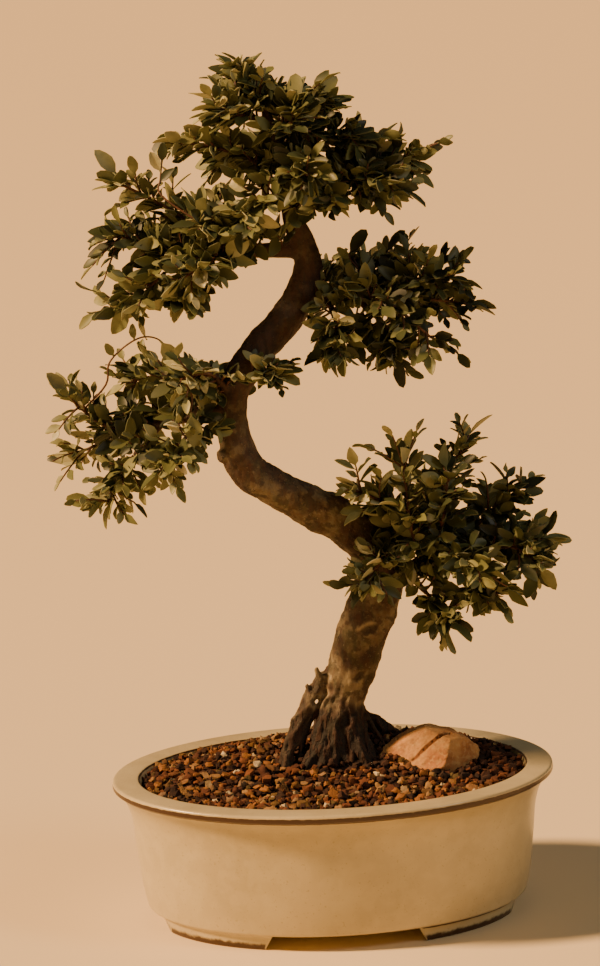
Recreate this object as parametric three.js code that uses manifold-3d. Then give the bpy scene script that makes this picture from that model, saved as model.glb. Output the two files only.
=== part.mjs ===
// Chinese elm bonsai, an informal upright with five foliage pads, in an oval glazed pot.
// Millimetres, +Z up. The pot's long side lies along X and the front of the tree faces -Y.
import * as THREE from 'three';
import { mergeVertices } from 'three/addons/utils/BufferGeometryUtils.js';
import Module from 'manifold-3d';

const wasm = await Module();
wasm.setup();

// Driving dimensions
const POT = {
  halfLength: 102, halfWidth: 77, height: 68, rimWidth: 12.5, lip: 2.2, floorTop: 13, bodyBottom: 6,
  core: 60, segments: 32,
};
const FOOT = { outer: 84, inner: 66, fillet: 2, frontGap: 66, endGap: 36, slant: 4, below: 1 };
const DRAIN = { radius: 8, offset: 40, length: 20, middle: 7, segments: 12 };
const SCREEN = { size: 25, thickness: 1.2, mesh: 2, hole: 8, border: 0.3 };
const SOIL = {
  rim: 64.5, mound: 16, moundX: 4, moundY: 20, spreadX: 62, spreadY: 30, grain: 1.7, pitch: 8.2,
  scatter: 0.28, leastGrain: 0.4, lowest: -20, cover: 90,
};
const STONE = { x: 46, y: 3.5, z: 71.6, halfLength: 24, halfWidth: 16.5, halfHeight: 13.8 };
const CLEARANCE = 0.3;

// The pot's outline from the foot's outer edge up to the rim, and its inner wall from the floor to just
// below the rim, which the soil follows: distance from the middle along X, and height
const OUTER_WALL = [
  [FOOT.outer, 0], [87, 6], [90, 16], [92.6, 40], [94, 52], [96.5, 60],
  [POT.halfLength - 0.8, POT.height - POT.lip - 1.2], [POT.halfLength, POT.height - POT.lip],
  [POT.halfLength - 0.6, POT.height],
];
const INNER_WALL = [[77, POT.floorTop], [84, POT.floorTop + 5], [87.5, 45], [88.6, 64]];

// Flat breaks on the stone, as a direction and a distance from its middle in shares of its half sizes
const STONE_BREAKS = [
  [[-0.72, -0.2, 1], 0.7], [[0.36, -0.1, 1], 0.76], [[0.8, -0.66, 0.22], 0.72], [[-0.46, -0.8, 0.56], 0.54],
  [[0.9, 0.1, 0.75], 0.82], [[0, 0, -1], 0.55],
];

// Low waves on the stone's rough ball: how high each is, then how fast it runs along two axes
const STONE_WAVES = [
  { height: 0.05, axes: ['x', 'y'], rates: [4, 5] },
  { height: 0.04, axes: ['z', 'x'], rates: [7, -3] },
];

// The groove in the stone: its middle, the way it runs and the way it opens
const GROOVE = {
  middle: [45, -2.9, 77], along: [0.79, 0.22, 0.57], outward: [-0.29, -0.73, 0.61],
  width: 1.5, reach: 24, depth: 2.2,
};

// Leaves and the twigs that carry them
const LEAF = {
  length: 15.5, halfWidth: 4.1, rib: 0.45, ribPeak: 0.42, sunk: 0.3, edgeLift: 0.7, tipDroop: 1.1,
};
const LEAF_SIZES = { least: 0.88, range: 0.24 };
const TWIG = { baseRadius: 0.95, tipRadius: 0.6, bend: 0.42, sway: 3 };
const SHOOT = {
  leaves: 6, firstLeaf: 0.2, leafRange: 0.76, leafAngle: 0.95, leafRise: 0.2, lean: 1.0,
  angleSpread: 0.2, riseSpread: 0.35, rollSpread: 0.7,
};
const LEAF_TRIES = 6;
const SHOOT_TRIES = 10;
const TEST_MARGIN = 0.25;
const SEED = 20811;

// A leaf's outline on its plain side and on its fuller side, which has a blunt tooth: shares of its length
// and of its half width
const PLAIN_SIDE = [[0.3, -0.76], [0.58, -1], [0.85, -0.54]];
const TOOTHED_SIDE = [[0.84, 0.56], [0.6, 0.84], [0.53, 1], [0.26, 0.7]];

// How many sides and lengths each kind of limb is made of. A thick branch is a main one.
const SECTIONS = {
  trunk: [9, 31], root: [5, 4], stub: [4, 2], mainBranch: [5, 4], branch: [3, 1], twig: [3, 2],
};
const MAIN_BRANCH_RADIUS = 2.5;

// Swellings round the trunk: their share of its radius, and how many go round it and along it
const SWELLINGS = [{ share: 0.035, round: 3, along: 21 }, { share: 0.021, round: 5, along: -34 }];

// How far a surface may shift when needless corners are taken out
const TOLERANCE = { soil: 0.15, stone: 0.05, trunk: 0.12, spray: 0.06, corners: 1e-4 };

// Trunk centreline with its radius, from the root base to the leader: x, y, z, radius
const TRUNK = [
  [-2, 14, 58, 9], [0, 14, 76, 9], [3, 14, 89, 9], [6.2, 13.5, 97.5, 10.3], [9.2, 13, 106.5, 11.2],
  [14.6, 12.5, 121.5, 12], [19.2, 12, 134, 11.9], [24, 12, 146, 11.2], [26, 12, 158, 11.2],
  [22.5, 10, 170, 11],
  [14, 8, 179, 10.4], [6.5, 6, 185, 10], [-1.5, 4, 189, 9.6], [-11, 1, 195, 9], [-23, -3, 203, 8.5],
  [-31, -5, 209, 8.4], [-36, -6, 217, 8.4], [-38, -6, 226, 7.8], [-39.5, -5, 236, 7], [-38, -4, 246, 7],
  [-33, -3, 256, 7.4], [-26, -1, 265, 7.6], [-18, 2, 272.5, 7.7], [-10, 5, 281, 7.6], [-4.5, 7, 290, 7],
  [-1.5, 8, 301, 6.4], [-3, 8, 310, 5.8], [-6.5, 7, 320, 5], [-8.5, 6, 330, 4.4], [-9.5, 4, 344, 3.6],
  [-13, 2, 359, 2.7], [-18, 0, 373, 1.8],
];

// Surface roots: the route, then the first and last radius
const ROOTS = [
  [[[1, 11, 110], [-6.5, 8, 104], [-12.5, 5, 94], [-18, 2, 82], [-22.5, -1, 70], [-25, -3, 61]], 4, 3],
  [[[4, 8, 104], [-1, 5, 96], [-3, 2, 86], [-6, -1, 75], [-8, -4, 62]], 3.4, 2.6],
  [[[6, 5, 100], [3, 2, 90], [1, -1, 79], [-1, -4, 63]], 3.8, 2.6],
  [[[9, 6, 99], [9, 3, 90], [8, 0, 80], [9, -4, 63]], 3.8, 2.6],
  [[[10, 10, 98], [13, 7, 88], [16.2, 3, 78], [19.5, -3, 64]], 3.6, 2.6],
  [[[-4, 1, 81], [-9, -1, 75], [-13, -3, 69], [-16, -5, 61]], 2.6, 2.2],
  [[[9, 2, 87], [12, -1, 80], [15, -4, 71], [16, -7, 61]], 2.6, 2.2],
  [[[8, 14, 97], [14, 17, 87], [20, 20, 83], [27, 25, 77.5], [35, 31, 69], [41, 35, 61]], 6, 4],
  [[[5, 17, 96], [9, 27, 86], [15, 37, 74], [19, 44, 61]], 5, 3],
  [[[3, 18, 96], [0, 27, 85], [-6, 37, 73], [-10, 44, 61]], 5, 3],
  [[[-1, 15, 80], [-11, 19, 74], [-24, 23, 69], [-35, 25, 61]], 4.5, 3],
];

// Pruned stubs on the trunk, and the small spur on its left: the route, then the two radii
const STUBS = [
  [[[19, 8, 133], [19, 1, 133.5], [19, -1, 134]], 5.4, 4.2],
  [[[6, 11, 106], [-3, 8, 109], [-5.5, 7, 114.5]], 2.6, 1.1],
  [[[-2, 9, 100], [-8, 7, 103], [-10.5, 6, 107]], 2.4, 1],
  [[[-36, -5, 222], [-44, -9, 219], [-46, -10, 218.5]], 3.6, 2.8],
];

// Branches: foliage pad, first radius, route from the parent's centreline, and where the leafy shoot ends
const BRANCHES = [
  ['low', 4.8, [[25, 12, 152], [42, 6, 160], [60, 1, 166], [76, -2, 170]], [115, -5, 174]],
  ['low', 2.4, [[44, 6, 161], [50, 8, 180]], [76, 10, 233]],
  ['low', 2.2, [[60, 1, 166], [71, 4, 178]], [103, 6, 203]],
  ['low', 2.2, [[54, 2, 164], [64, -8, 154]], [91, -22, 146]],
  ['low', 2.2, [[38, 7, 158], [46, -8, 150]], [62, -28, 130]],
  ['low', 2.2, [[50, 3, 163], [56, -18, 168]], [80, -44, 163]],
  ['low', 2.2, [[62, 1, 166], [72, 18, 168]], [97, 42, 162]],
  ['low', 2.4, [[32, 9, 156], [26, -10, 166]], [8, -30, 150]],
  ['low', 2.4, [[25, 12, 162], [34, 0, 180]], [8, -20, 210]],
  ['low', 2.2, [[47, 4, 162], [53, -12, 182]], [57, -26, 224]],
  ['low', 2.2, [[45, 5, 161], [50, 24, 178]], [50, 44, 206]],
  ['low', 2, [[70, -1, 169], [83, -17, 172]], [106, -34, 156]],
  ['low', 2, [[46, 5, 161], [42, -8, 172]], [35, -18, 225]],
  ['left', 4.2, [[-38.5, -5, 238], [-56, -8, 238], [-74, -6, 234], [-82, -4, 232]], [-126, 2, 256]],
  ['left', 2.2, [[-55, -8, 238], [-62, 0, 250]], [-101, 8, 253]],
  ['left', 2.2, [[-72, -6, 234], [-84, -14, 222]], [-104, -24, 190]],
  ['left', 2.2, [[-62, -7, 237], [-74, 14, 232]], [-121, 22, 214]],
  ['left', 2.2, [[-50, -7, 238], [-60, -22, 231]], [-82, -40, 208]],
  ['left', 2.2, [[-38, -4, 245], [-46, -16, 256]], [-78, -34, 256]],
  ['left', 2, [[-33, -3, 255], [-25, -15, 257]], [-8, -27, 255]],
  ['left', 2.2, [[-39, -5, 236], [-48, 14, 244]], [-72, 36, 248]],
  ['right', 3.6, [[-5, 7, 289], [10, 5, 287], [28, 2, 285], [38, 1, 285]], [85, -4, 280]],
  ['right', 2, [[14, 4, 287], [23, 8, 296]], [60, 12, 302]],
  ['right', 2, [[20, 3, 286], [30, -10, 276]], [40, -26, 249]],
  ['right', 2, [[28, 2, 285], [38, 18, 284]], [64, 40, 279]],
  ['right', 2, [[17, 4, 286], [26, -14, 288]], [61, -34, 263]],
  ['right', 2, [[7, 6, 287], [9, -9, 278]], [6, -27, 256]],
  ['right', 2.2, [[-3, 7, 294], [8, 24, 292]], [36, 44, 290]],
  ['right', 2, [[34, 1, 285], [42, -10, 293]], [78, -16, 296]],
  ['upper', 4.4, [[-3, 8, 309], [-24, 6, 309], [-46, 2, 310], [-60, 0, 313]], [-100, -4, 323]],
  ['upper', 2.2, [[-38, 4, 310], [-51, 6, 321]], [-97, 8, 350]],
  ['upper', 2.2, [[-54, 1, 312], [-66, -8, 303]], [-94, -16, 278]],
  ['upper', 2.2, [[-46, 2, 310], [-56, 18, 313]], [-86, 42, 314]],
  ['upper', 2.2, [[-34, 4, 310], [-43, -14, 309]], [-70, -38, 298]],
  ['upper', 2, [[-49, 1, 311], [-54, -9, 301]], [-64, -20, 279]],
  ['upper', 2.2, [[-26, 6, 309], [-35, -9, 318]], [-62, -26, 332]],
  ['upper', 2.2, [[-28, 6, 309], [-36, 21, 317]], [-60, 42, 332]],
  ['crown', 2.8, [[-8, 6, 329], [9, 8, 338], [20, 8, 343], [24, 8, 344]], [62, 6, 350]],
  ['crown', 2, [[9, 8, 338], [19, -8, 341]], [52, -28, 335]],
  ['crown', 2, [[14, 8, 340], [24, 22, 343]], [48, 42, 344]],
  ['crown', 1.8, [[18, 8, 342], [24, 0, 336]], [38, -20, 335]],
  ['crown', 1.8, [[-8, 6, 332], [1, -8, 332]], [18, -28, 339]],
  ['crown', 2.2, [[-9.5, 4, 342], [-24, 1, 350]], [-71, -4, 365]],
  ['crown', 1.8, [[-14, 2, 361], [-4, 4, 369]], [24, 8, 378]],
  ['crown', 2, [[-9.5, 4, 342], [-6, -13, 347]], [3, -42, 343]],
  ['crown', 2, [[-10, 4, 346], [-11, 22, 352]], [-15, 48, 355]],
  ['crown', 2, [[-8.5, 6, 334], [-22, -13, 335]], [-40, -34, 314]],
  ['crown', 2, [[-9.5, 4, 343], [-26, 19, 347]], [-52, 40, 349]],
  ['crown', 1.7, [[-16, 1, 367], [-27, -8, 371]], [-52, -18, 380]],
  ['crown', 1.7, [[-15, 1, 363], [-8, -12, 367]], [-1, -16, 390]],
  ['crown', 1.8, [[-10.5, 4, 348], [6, 2, 356]], [35, -6, 361]],
  ['crown', 1.8, [[-17, 0, 370], [-19, -1, 375]], [-39, -3, 402]],
];
const BRANCH_TIP_RADIUS = 1.25;

// Finishes
const COLOURS = {
  glaze: 0xbdb597, screen: 0x1d1f1c, soil: 0x6a3f22, stone: 0xc79e73, bark: 0x6b5945, leaf: 0x4d562b,
};

// Reads a closed geometry as a solid. Corners at one place become one, and faces that this closes up go.
function solidOf(geometry) {
  geometry.deleteAttribute('normal');
  geometry.deleteAttribute('uv');
  const merged = mergeVertices(geometry, TOLERANCE.corners);
  const corners = merged.index.array;
  const kept = [];
  for (let i = 0; i < corners.length; i += 3) {
    const [a, b, c] = corners.slice(i, i + 3);
    if (a !== b && b !== c && c !== a) kept.push(a, b, c);
  }
  const vertProperties = Float32Array.from(merged.attributes.position.array);
  return new wasm.Manifold(new wasm.Mesh({ numProp: 3, vertProperties, triVerts: Uint32Array.from(kept) }));
}

function meshOf(name, solid, colour, roughness) {
  const { vertProperties, triVerts } = solid.getMesh();
  const geometry = new THREE.BufferGeometry();
  geometry.setAttribute('position', new THREE.BufferAttribute(vertProperties, 3));
  geometry.setIndex(new THREE.BufferAttribute(triVerts, 1));
  const material = new THREE.MeshStandardMaterial({ color: colour, roughness, metalness: 0 });
  const mesh = new THREE.Mesh(geometry, material);
  mesh.name = name;
  return mesh;
}

// Keeps the biggest piece where a cut leaves scraps.
function largestPiece(solid) {
  const pieces = solid.decompose();
  return pieces.reduce((best, piece) => (piece.volume() > best.volume() ? piece : best));
}

// A number from 0 to 1 that depends only on the whole numbers given: which piece and which try it is for,
// and last a number of its own for each thing drawn.
function draw(...keys) {
  let hash = SEED;
  for (const key of keys) {
    hash = Math.imul(hash ^ (key + 1), 2654435761);
    hash ^= hash >>> 15;
  }
  hash = Math.imul(hash ^ (hash >>> 13), 2246822519);
  hash ^= hash >>> 16;
  return (hash >>> 0) / 4294967296;
}

const spread = (amount, ...keys) => (draw(...keys) * 2 - 1) * amount;
const vector = ([x, y, z]) => new THREE.Vector3(x, y, z);
const routeOf = (points) => new THREE.CatmullRomCurve3(points.map(vector), false, 'catmullrom', 0.5);

function radiusAt(radii, along) {
  const place = along * (radii.length - 1);
  const index = Math.min(Math.floor(place), radii.length - 2);
  return THREE.MathUtils.lerp(radii[index], radii[index + 1], place - index);
}

// Picks the axis that the limbs' rings are turned by: the first that lies well across the limb.
function axisAcross(curve) {
  const chord = curve.getPoint(1).sub(curve.getPoint(0)).normalize();
  const axes = [new THREE.Vector3(0, 1, 0), new THREE.Vector3(1, 0, 0), new THREE.Vector3(0, 0, 1)];
  const slant = (axis) => Math.abs(axis.dot(chord));
  const clearlyBetter = 0.2;
  return axes.reduce((best, axis) => (slant(axis) < slant(best) - clearlyBetter ? axis : best));
}

// A tapering round limb along a curve: a cylinder bent onto it, section by section.
function limb(curve, radii, [sides, steps], { grow = 0, swellings = [] } = {}) {
  const reference = axisAcross(curve);
  const geometry = new THREE.CylinderGeometry(1, 1, 1, sides, steps);
  const position = geometry.attributes.position;
  for (let i = 0; i < position.count; i += 1) {
    const along = position.getY(i) + 0.5;
    const tangent = curve.getTangent(along);
    const across = reference.clone().cross(tangent).normalize();
    const upward = across.clone().cross(tangent);
    const angle = Math.atan2(position.getX(i), position.getZ(i));
    const swell = swellings.reduce(
      (sum, { share, round, along: waves }) => sum + share * Math.sin(round * angle + waves * along),
      1,
    );
    const radius = radiusAt(radii, along) * swell + grow;
    const point = curve.getPoint(along);
    point.addScaledVector(across, position.getX(i) * radius);
    point.addScaledVector(upward, position.getZ(i) * radius);
    position.setXYZ(i, point.x, point.y, point.z);
  }
  return solidOf(geometry);
}

// Turns a round solid into the pot's oval. The wall and rim keep one width all round.
function toOval(geometry) {
  const inset = POT.halfLength - POT.halfWidth;
  const position = geometry.attributes.position;
  for (let i = 0; i < position.count; i += 1) {
    const x = position.getX(i);
    const y = position.getY(i);
    const radius = Math.hypot(x, y);
    const narrowed = radius > POT.core ? radius - inset : radius * (POT.core - inset) / POT.core;
    if (radius > 0) position.setY(i, y * narrowed / radius);
  }
  return geometry;
}

function ovalLathe(profile, segments) {
  const points = profile.map(([radius, height]) => new THREE.Vector2(radius, height));
  const geometry = new THREE.LatheGeometry(points, segments);
  geometry.rotateX(Math.PI / 2);
  return solidOf(toOval(geometry));
}

function boxAt(width, depth, height, x, y, z) {
  const geometry = new THREE.BoxGeometry(width, depth, height);
  geometry.translate(x, y, z);
  return solidOf(geometry);
}

// A gap between two feet: a slanted channel right through under the pot.
function footGap(gap, length, turn) {
  const outline = new THREE.Shape();
  const half = gap / 2;
  outline.moveTo(-half - FOOT.slant, -FOOT.below);
  outline.lineTo(half + FOOT.slant, -FOOT.below);
  outline.lineTo(half, POT.bodyBottom);
  outline.lineTo(-half, POT.bodyBottom);
  const geometry = new THREE.ExtrudeGeometry(outline, { depth: length, bevelEnabled: false });
  geometry.translate(0, 0, -length / 2);
  geometry.rotateX(Math.PI / 2);
  geometry.rotateZ(turn);
  return solidOf(geometry);
}

function drainHole(x) {
  const geometry = new THREE.CylinderGeometry(DRAIN.radius, DRAIN.radius, DRAIN.length, DRAIN.segments);
  geometry.rotateX(Math.PI / 2);
  geometry.translate(x, 0, DRAIN.middle);
  return solidOf(geometry);
}

function potSolid() {
  const profile = [
    [0, POT.bodyBottom],
    [FOOT.inner - FOOT.fillet, POT.bodyBottom],
    [FOOT.inner, 0],
    ...OUTER_WALL,
    [POT.halfLength - POT.rimWidth, POT.height],
    ...[...INNER_WALL].reverse(),
    [0, POT.floorTop],
  ];
  const cuts = [
    footGap(FOOT.frontGap, 4 * POT.halfWidth, 0),
    footGap(FOOT.endGap, 4 * POT.halfLength, Math.PI / 2),
    drainHole(-DRAIN.offset),
    drainHole(DRAIN.offset),
  ];
  return cuts.reduce((solid, cut) => solid.subtract(cut), ovalLathe(profile, POT.segments));
}

// A square of coarse plastic mesh that lies over a drain hole.
function screenSolid(x) {
  const middle = POT.floorTop + CLEARANCE + SCREEN.thickness / 2;
  const pitch = SCREEN.size / (SCREEN.mesh + SCREEN.border);
  const holes = [];
  for (let column = 0; column < SCREEN.mesh; column += 1) {
    for (let row = 0; row < SCREEN.mesh; row += 1) {
      const across = x + (column - (SCREEN.mesh - 1) / 2) * pitch;
      const along = (row - (SCREEN.mesh - 1) / 2) * pitch;
      holes.push(boxAt(SCREEN.hole, SCREEN.hole, 2 * SCREEN.thickness, across, along, middle));
    }
  }
  const plate = boxAt(SCREEN.size, SCREEN.size, SCREEN.thickness, x, 0, middle);
  return plate.subtract(wasm.Manifold.union(holes));
}

function soilHeight(x, y) {
  const away = ((x - SOIL.moundX) / SOIL.spreadX) ** 2 + ((y - SOIL.moundY) / SOIL.spreadY) ** 2;
  return SOIL.rim + SOIL.mound * Math.exp(-away);
}

// The soil's upper face: a grid raised to the mound, each grid point a pebble's top or the dip beside it.
function soilBlock() {
  const width = 2 * POT.halfLength;
  const depth = 2 * POT.halfWidth;
  const columns = Math.round(width / SOIL.pitch);
  const rows = Math.round(depth / SOIL.pitch);
  const block = new THREE.BoxGeometry(width, depth, 1, columns, rows, 1);
  const position = block.attributes.position;
  for (let i = 0; i < position.count; i += 1) {
    const column = Math.round((position.getX(i) / width + 0.5) * columns);
    const row = Math.round((position.getY(i) / depth + 0.5) * rows);
    const x = position.getX(i) + spread(SOIL.pitch * SOIL.scatter, column, row, 1);
    const y = position.getY(i) + spread(SOIL.pitch * SOIL.scatter, column, row, 2);
    const pebble = (column + row) % 2 ? SOIL.grain * (SOIL.leastGrain + draw(column, row, 3)) : 0;
    position.setXYZ(i, x, y, position.getZ(i) > 0 ? soilHeight(x, y) + pebble : SOIL.lowest);
  }
  return solidOf(block);
}

// The soil fills the pot, with recesses over the screens and holes for what stands in it.
function soilSolid(standing) {
  const wall = INNER_WALL.map(([radius, height]) => [radius - CLEARANCE, height]);
  const floor = POT.floorTop + CLEARANCE;
  wall[0][1] = floor;
  wall.at(-1)[1] = SOIL.cover;
  const filling = ovalLathe([[0, floor], ...wall, [0, SOIL.cover]], POT.segments);
  const room = SCREEN.size + 2 * CLEARANCE;
  const recessHeight = 2 * (SCREEN.thickness + 2 * CLEARANCE);
  const offsets = [-DRAIN.offset, DRAIN.offset];
  const recesses = offsets.map((x) => boxAt(room, room, recessHeight, x, 0, POT.floorTop));
  const holes = wasm.Manifold.union([...recesses, ...standing]);
  return largestPiece(filling.intersect(soilBlock()).subtract(holes)).simplify(TOLERANCE.soil);
}

// A split stone: a rough ball, flattened by breaks and grown a little where it shapes the hole it lies in.
function plainStone(grow) {
  const ball = new THREE.IcosahedronGeometry(1, 1);
  const position = ball.attributes.position;
  for (let i = 0; i < position.count; i += 1) {
    const point = new THREE.Vector3().fromBufferAttribute(position, i);
    const wave = ({ height, axes: [a, b], rates: [along, beside] }) => (
      height * Math.sin(along * point[a] + beside * point[b]));
    const rough = STONE_WAVES.reduce((sum, each) => sum + wave(each), 1);
    position.setXYZ(i, point.x * rough, point.y * rough, point.z * rough);
  }
  const broken = STONE_BREAKS.reduce((solid, [normal, distance]) => {
    const way = vector(normal).normalize().negate();
    return solid.trimByPlane([way.x, way.y, way.z], -distance);
  }, solidOf(ball));
  const { x, y, z, halfLength, halfWidth, halfHeight } = STONE;
  return broken.scale([halfLength + grow, halfWidth + grow, halfHeight + grow]).translate([x, y, z]);
}

// The stone with one groove of even depth that slants up its front to the top.
function stoneSolid() {
  const whole = plainStone(0);
  const along = vector(GROOVE.along).normalize();
  const across = along.clone().cross(vector(GROOVE.outward)).normalize();
  const outward = across.clone().cross(along);
  const slab = new THREE.BoxGeometry(GROOVE.width, GROOVE.reach, 2 * STONE.halfHeight);
  slab.applyMatrix4(new THREE.Matrix4().makeBasis(across, along, outward));
  slab.translate(...GROOVE.middle);
  const grooved = whole.subtract(solidOf(slab).subtract(plainStone(-GROOVE.depth)));
  return largestPiece(grooved).simplify(TOLERANCE.stone);
}

// The point a little beyond the end of a route, in line with the point before it.
function beyond(end, before, distance) {
  const way = vector(end).sub(vector(before)).normalize();
  return vector(end).addScaledVector(way, distance).toArray();
}

// The trunk and its roots, a little larger where they shape the holes that they stand in.
function rootLimbs(grow) {
  const base = beyond(TRUNK[0], TRUNK[1], grow);
  const radii = TRUNK.map((point) => point[3]);
  const options = { grow, swellings: SWELLINGS };
  const trunk = limb(routeOf([base, ...TRUNK.slice(1)]), radii, SECTIONS.trunk, options);
  const roots = ROOTS.map(([points, first, last]) => {
    const end = beyond(points.at(-1), points.at(-2), grow * 2);
    return limb(routeOf([...points.slice(0, -1), end]), [first, last], SECTIONS.root, { grow });
  });
  return [trunk, ...roots];
}

function trunkSolid() {
  const stubs = STUBS.map(([points, first, last]) => limb(routeOf(points), [first, last], SECTIONS.stub));
  const branches = BRANCHES.map(([, radius, points]) => {
    const sections = radius > MAIN_BRANCH_RADIUS ? SECTIONS.mainBranch : SECTIONS.branch;
    return limb(routeOf(points), [radius, BRANCH_TIP_RADIUS], sections);
  });
  const whole = wasm.Manifold.union([...rootLimbs(0), ...stubs, ...branches]);
  return largestPiece(whole).simplify(TOLERANCE.trunk);
}

// A pointed elliptic leaf, a little lopsided, thickest at its rib: base at the origin, tip along +X, upper
// face towards +Z. The margin widens it for the test against its neighbours.
function leafGeometry(size, margin) {
  const outline = [[0, 0], ...PLAIN_SIDE, [1, 0], ...TOOTHED_SIDE];
  const length = LEAF.length * size + LEAF.sunk;
  const geometry = new THREE.SphereGeometry(1, outline.length, 2);
  const position = geometry.attributes.position;
  for (let i = 0; i < position.count; i += 1) {
    const pole = Math.round(position.getY(i));
    const turn = Math.atan2(position.getZ(i), -position.getX(i)) / (2 * Math.PI);
    const corner = Math.round(turn * outline.length + outline.length) % outline.length;
    const [along, wide] = pole ? [LEAF.ribPeak, 0] : outline[corner];
    const x = along * (length + margin) - LEAF.sunk;
    const y = wide * (LEAF.halfWidth * size + margin);
    const lift = Math.abs(wide) * LEAF.edgeLift - along ** 2 * LEAF.tipDroop;
    position.setXYZ(i, x, y, lift + pole * (LEAF.rib + margin / 2));
  }
  return geometry;
}

// The place of a leaf that points forward and faces along the normal.
function frameMatrix(origin, forward, normal) {
  const across = normal.clone().cross(forward).normalize();
  const upward = forward.clone().cross(across);
  return new THREE.Matrix4().makeBasis(forward, across, upward).setPosition(origin);
}

// Where the leaves of one shoot sit: alternate along it, with one more at its end.
function leafFrame(curve, shoot, leaf, attempt) {
  const lastLeaf = SHOOT.leaves - 1;
  const isLast = leaf === lastLeaf;
  const along = isLast ? 1 : SHOOT.firstLeaf + SHOOT.leafRange * leaf / lastLeaf;
  const forward = curve.getTangent(along);
  const lean = spread(SHOOT.lean, shoot, 71);
  const across = new THREE.Vector3(0, 0, 1).cross(forward).normalize().applyAxisAngle(forward, lean);
  const upward = forward.clone().cross(across);
  const side = leaf % 2 ? 1 : -1;
  const angle = isLast ? 0 : side * (SHOOT.leafAngle + spread(SHOOT.angleSpread, shoot, leaf, attempt, 1));
  const pitch = (isLast ? 0 : SHOOT.leafRise) + spread(SHOOT.riseSpread, shoot, leaf, attempt, 2);
  const roll = spread(SHOOT.rollSpread, shoot, leaf, attempt, 3);
  const flat = forward.multiplyScalar(Math.cos(angle)).addScaledVector(across, Math.sin(angle));
  const heading = flat.clone().multiplyScalar(Math.cos(pitch)).addScaledVector(upward, Math.sin(pitch));
  const normal = upward.clone().applyAxisAngle(heading, roll);
  return frameMatrix(curve.getPoint(along), heading, normal);
}

// The twig of a shoot. It sets out along its branch, and each new attempt aims a little further off.
function twigCurve(start, direction, end, shoot, attempt) {
  const sway = attempt * TWIG.sway;
  const aim = end.clone();
  aim.x += spread(sway, shoot, attempt, 11);
  aim.y += spread(sway, shoot, attempt, 12);
  aim.z += spread(sway, shoot, attempt, 13);
  const control = start.clone().addScaledVector(direction, start.distanceTo(aim) * TWIG.bend);
  return new THREE.QuadraticBezierCurve3(start, control, aim);
}

// Tells whether a solid is clear of all solids placed before it.
function isClear(solid, placed) {
  const box = solid.boundingBox();
  const near = ({ box: other }) => [0, 1, 2].every(
    (axis) => box.min[axis] <= other.max[axis] && box.max[axis] >= other.min[axis],
  );
  return placed.filter(near).every(({ solid: other }) => solid.intersect(other).isEmpty());
}

// A leafy shoot that carries on from the end of its branch. A twig or leaf that would cross what stands
// there already is bent another way, and a leaf that finds no room is left out.
function shootSolid(shoot, placed) {
  const [, , points, endPoint] = BRANCHES[shoot];
  const tip = vector(points.at(-1));
  const direction = tip.clone().sub(vector(points.at(-2))).normalize();
  const start = tip.addScaledVector(direction, CLEARANCE);
  const reach = vector(endPoint).sub(start);
  const end = start.clone().addScaledVector(reach, 1 - LEAF.length / reach.length());
  const radii = [TWIG.baseRadius, TWIG.tipRadius];
  const grown = { grow: TEST_MARGIN };
  let curve;
  for (let attempt = 0; attempt < SHOOT_TRIES; attempt += 1) {
    curve = twigCurve(start, direction, end, shoot, attempt);
    if (isClear(limb(curve, radii, SECTIONS.twig, grown), placed)) break;
  }
  const parts = [limb(curve, radii, SECTIONS.twig)];
  const own = [];
  for (let leaf = 0; leaf < SHOOT.leaves; leaf += 1) {
    const size = LEAF_SIZES.least + LEAF_SIZES.range * draw(shoot, leaf, 5);
    for (let attempt = 0; attempt < LEAF_TRIES; attempt += 1) {
      const frame = leafFrame(curve, shoot, leaf, attempt);
      const tested = solidOf(leafGeometry(size, TEST_MARGIN).applyMatrix4(frame));
      if (isClear(tested, placed) && isClear(tested, own)) {
        parts.push(solidOf(leafGeometry(size, 0).applyMatrix4(frame)));
        own.push({ solid: tested, box: tested.boundingBox() });
        break;
      }
    }
  }
  return largestPiece(wasm.Manifold.union(parts)).simplify(TOLERANCE.spray);
}

const trunk = trunkSolid();
const stone = stoneSolid();
const soil = soilSolid([...rootLimbs(CLEARANCE), plainStone(1.5 * CLEARANCE)]);

const plant = new THREE.Group();
plant.add(meshOf('pot', potSolid(), COLOURS.glaze, 0.35));
plant.add(meshOf('drain_screen_left', screenSolid(-DRAIN.offset), COLOURS.screen, 0.6));
plant.add(meshOf('drain_screen_right', screenSolid(DRAIN.offset), COLOURS.screen, 0.6));
plant.add(meshOf('soil', soil, COLOURS.soil, 0.95));
plant.add(meshOf('stone', stone, COLOURS.stone, 0.9));
plant.add(meshOf('trunk', trunk, COLOURS.bark, 0.85));

const placed = [trunk, stone, soil].map((solid) => ({ solid, box: solid.boundingBox() }));
const counts = {};
BRANCHES.forEach(([pad], shoot) => {
  const solid = shootSolid(shoot, placed);
  placed.push({ solid, box: solid.boundingBox() });
  counts[pad] = (counts[pad] ?? 0) + 1;
  const name = `spray_${pad}_${String(counts[pad]).padStart(2, '0')}`;
  plant.add(meshOf(name, solid, COLOURS.leaf, 0.6));
});

// The origin lies under the middle of the whole, on the surface it stands on.
const whole = new THREE.Box3().setFromObject(plant);
const middle = whole.getCenter(new THREE.Vector3());
plant.position.set(-middle.x, -middle.y, -whole.min.z);

export default plant;
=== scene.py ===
# Chinese elm bonsai in an oval glazed pot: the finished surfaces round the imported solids.
# Each piece is modelled in millimetres about the pot's middle, then put in metres where the pot stands.
import math

import bmesh
import bpy
import numpy as np
from mathutils import Matrix, Quaternion, Vector, kdtree, noise
from mathutils.bvhtree import BVHTree


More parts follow.
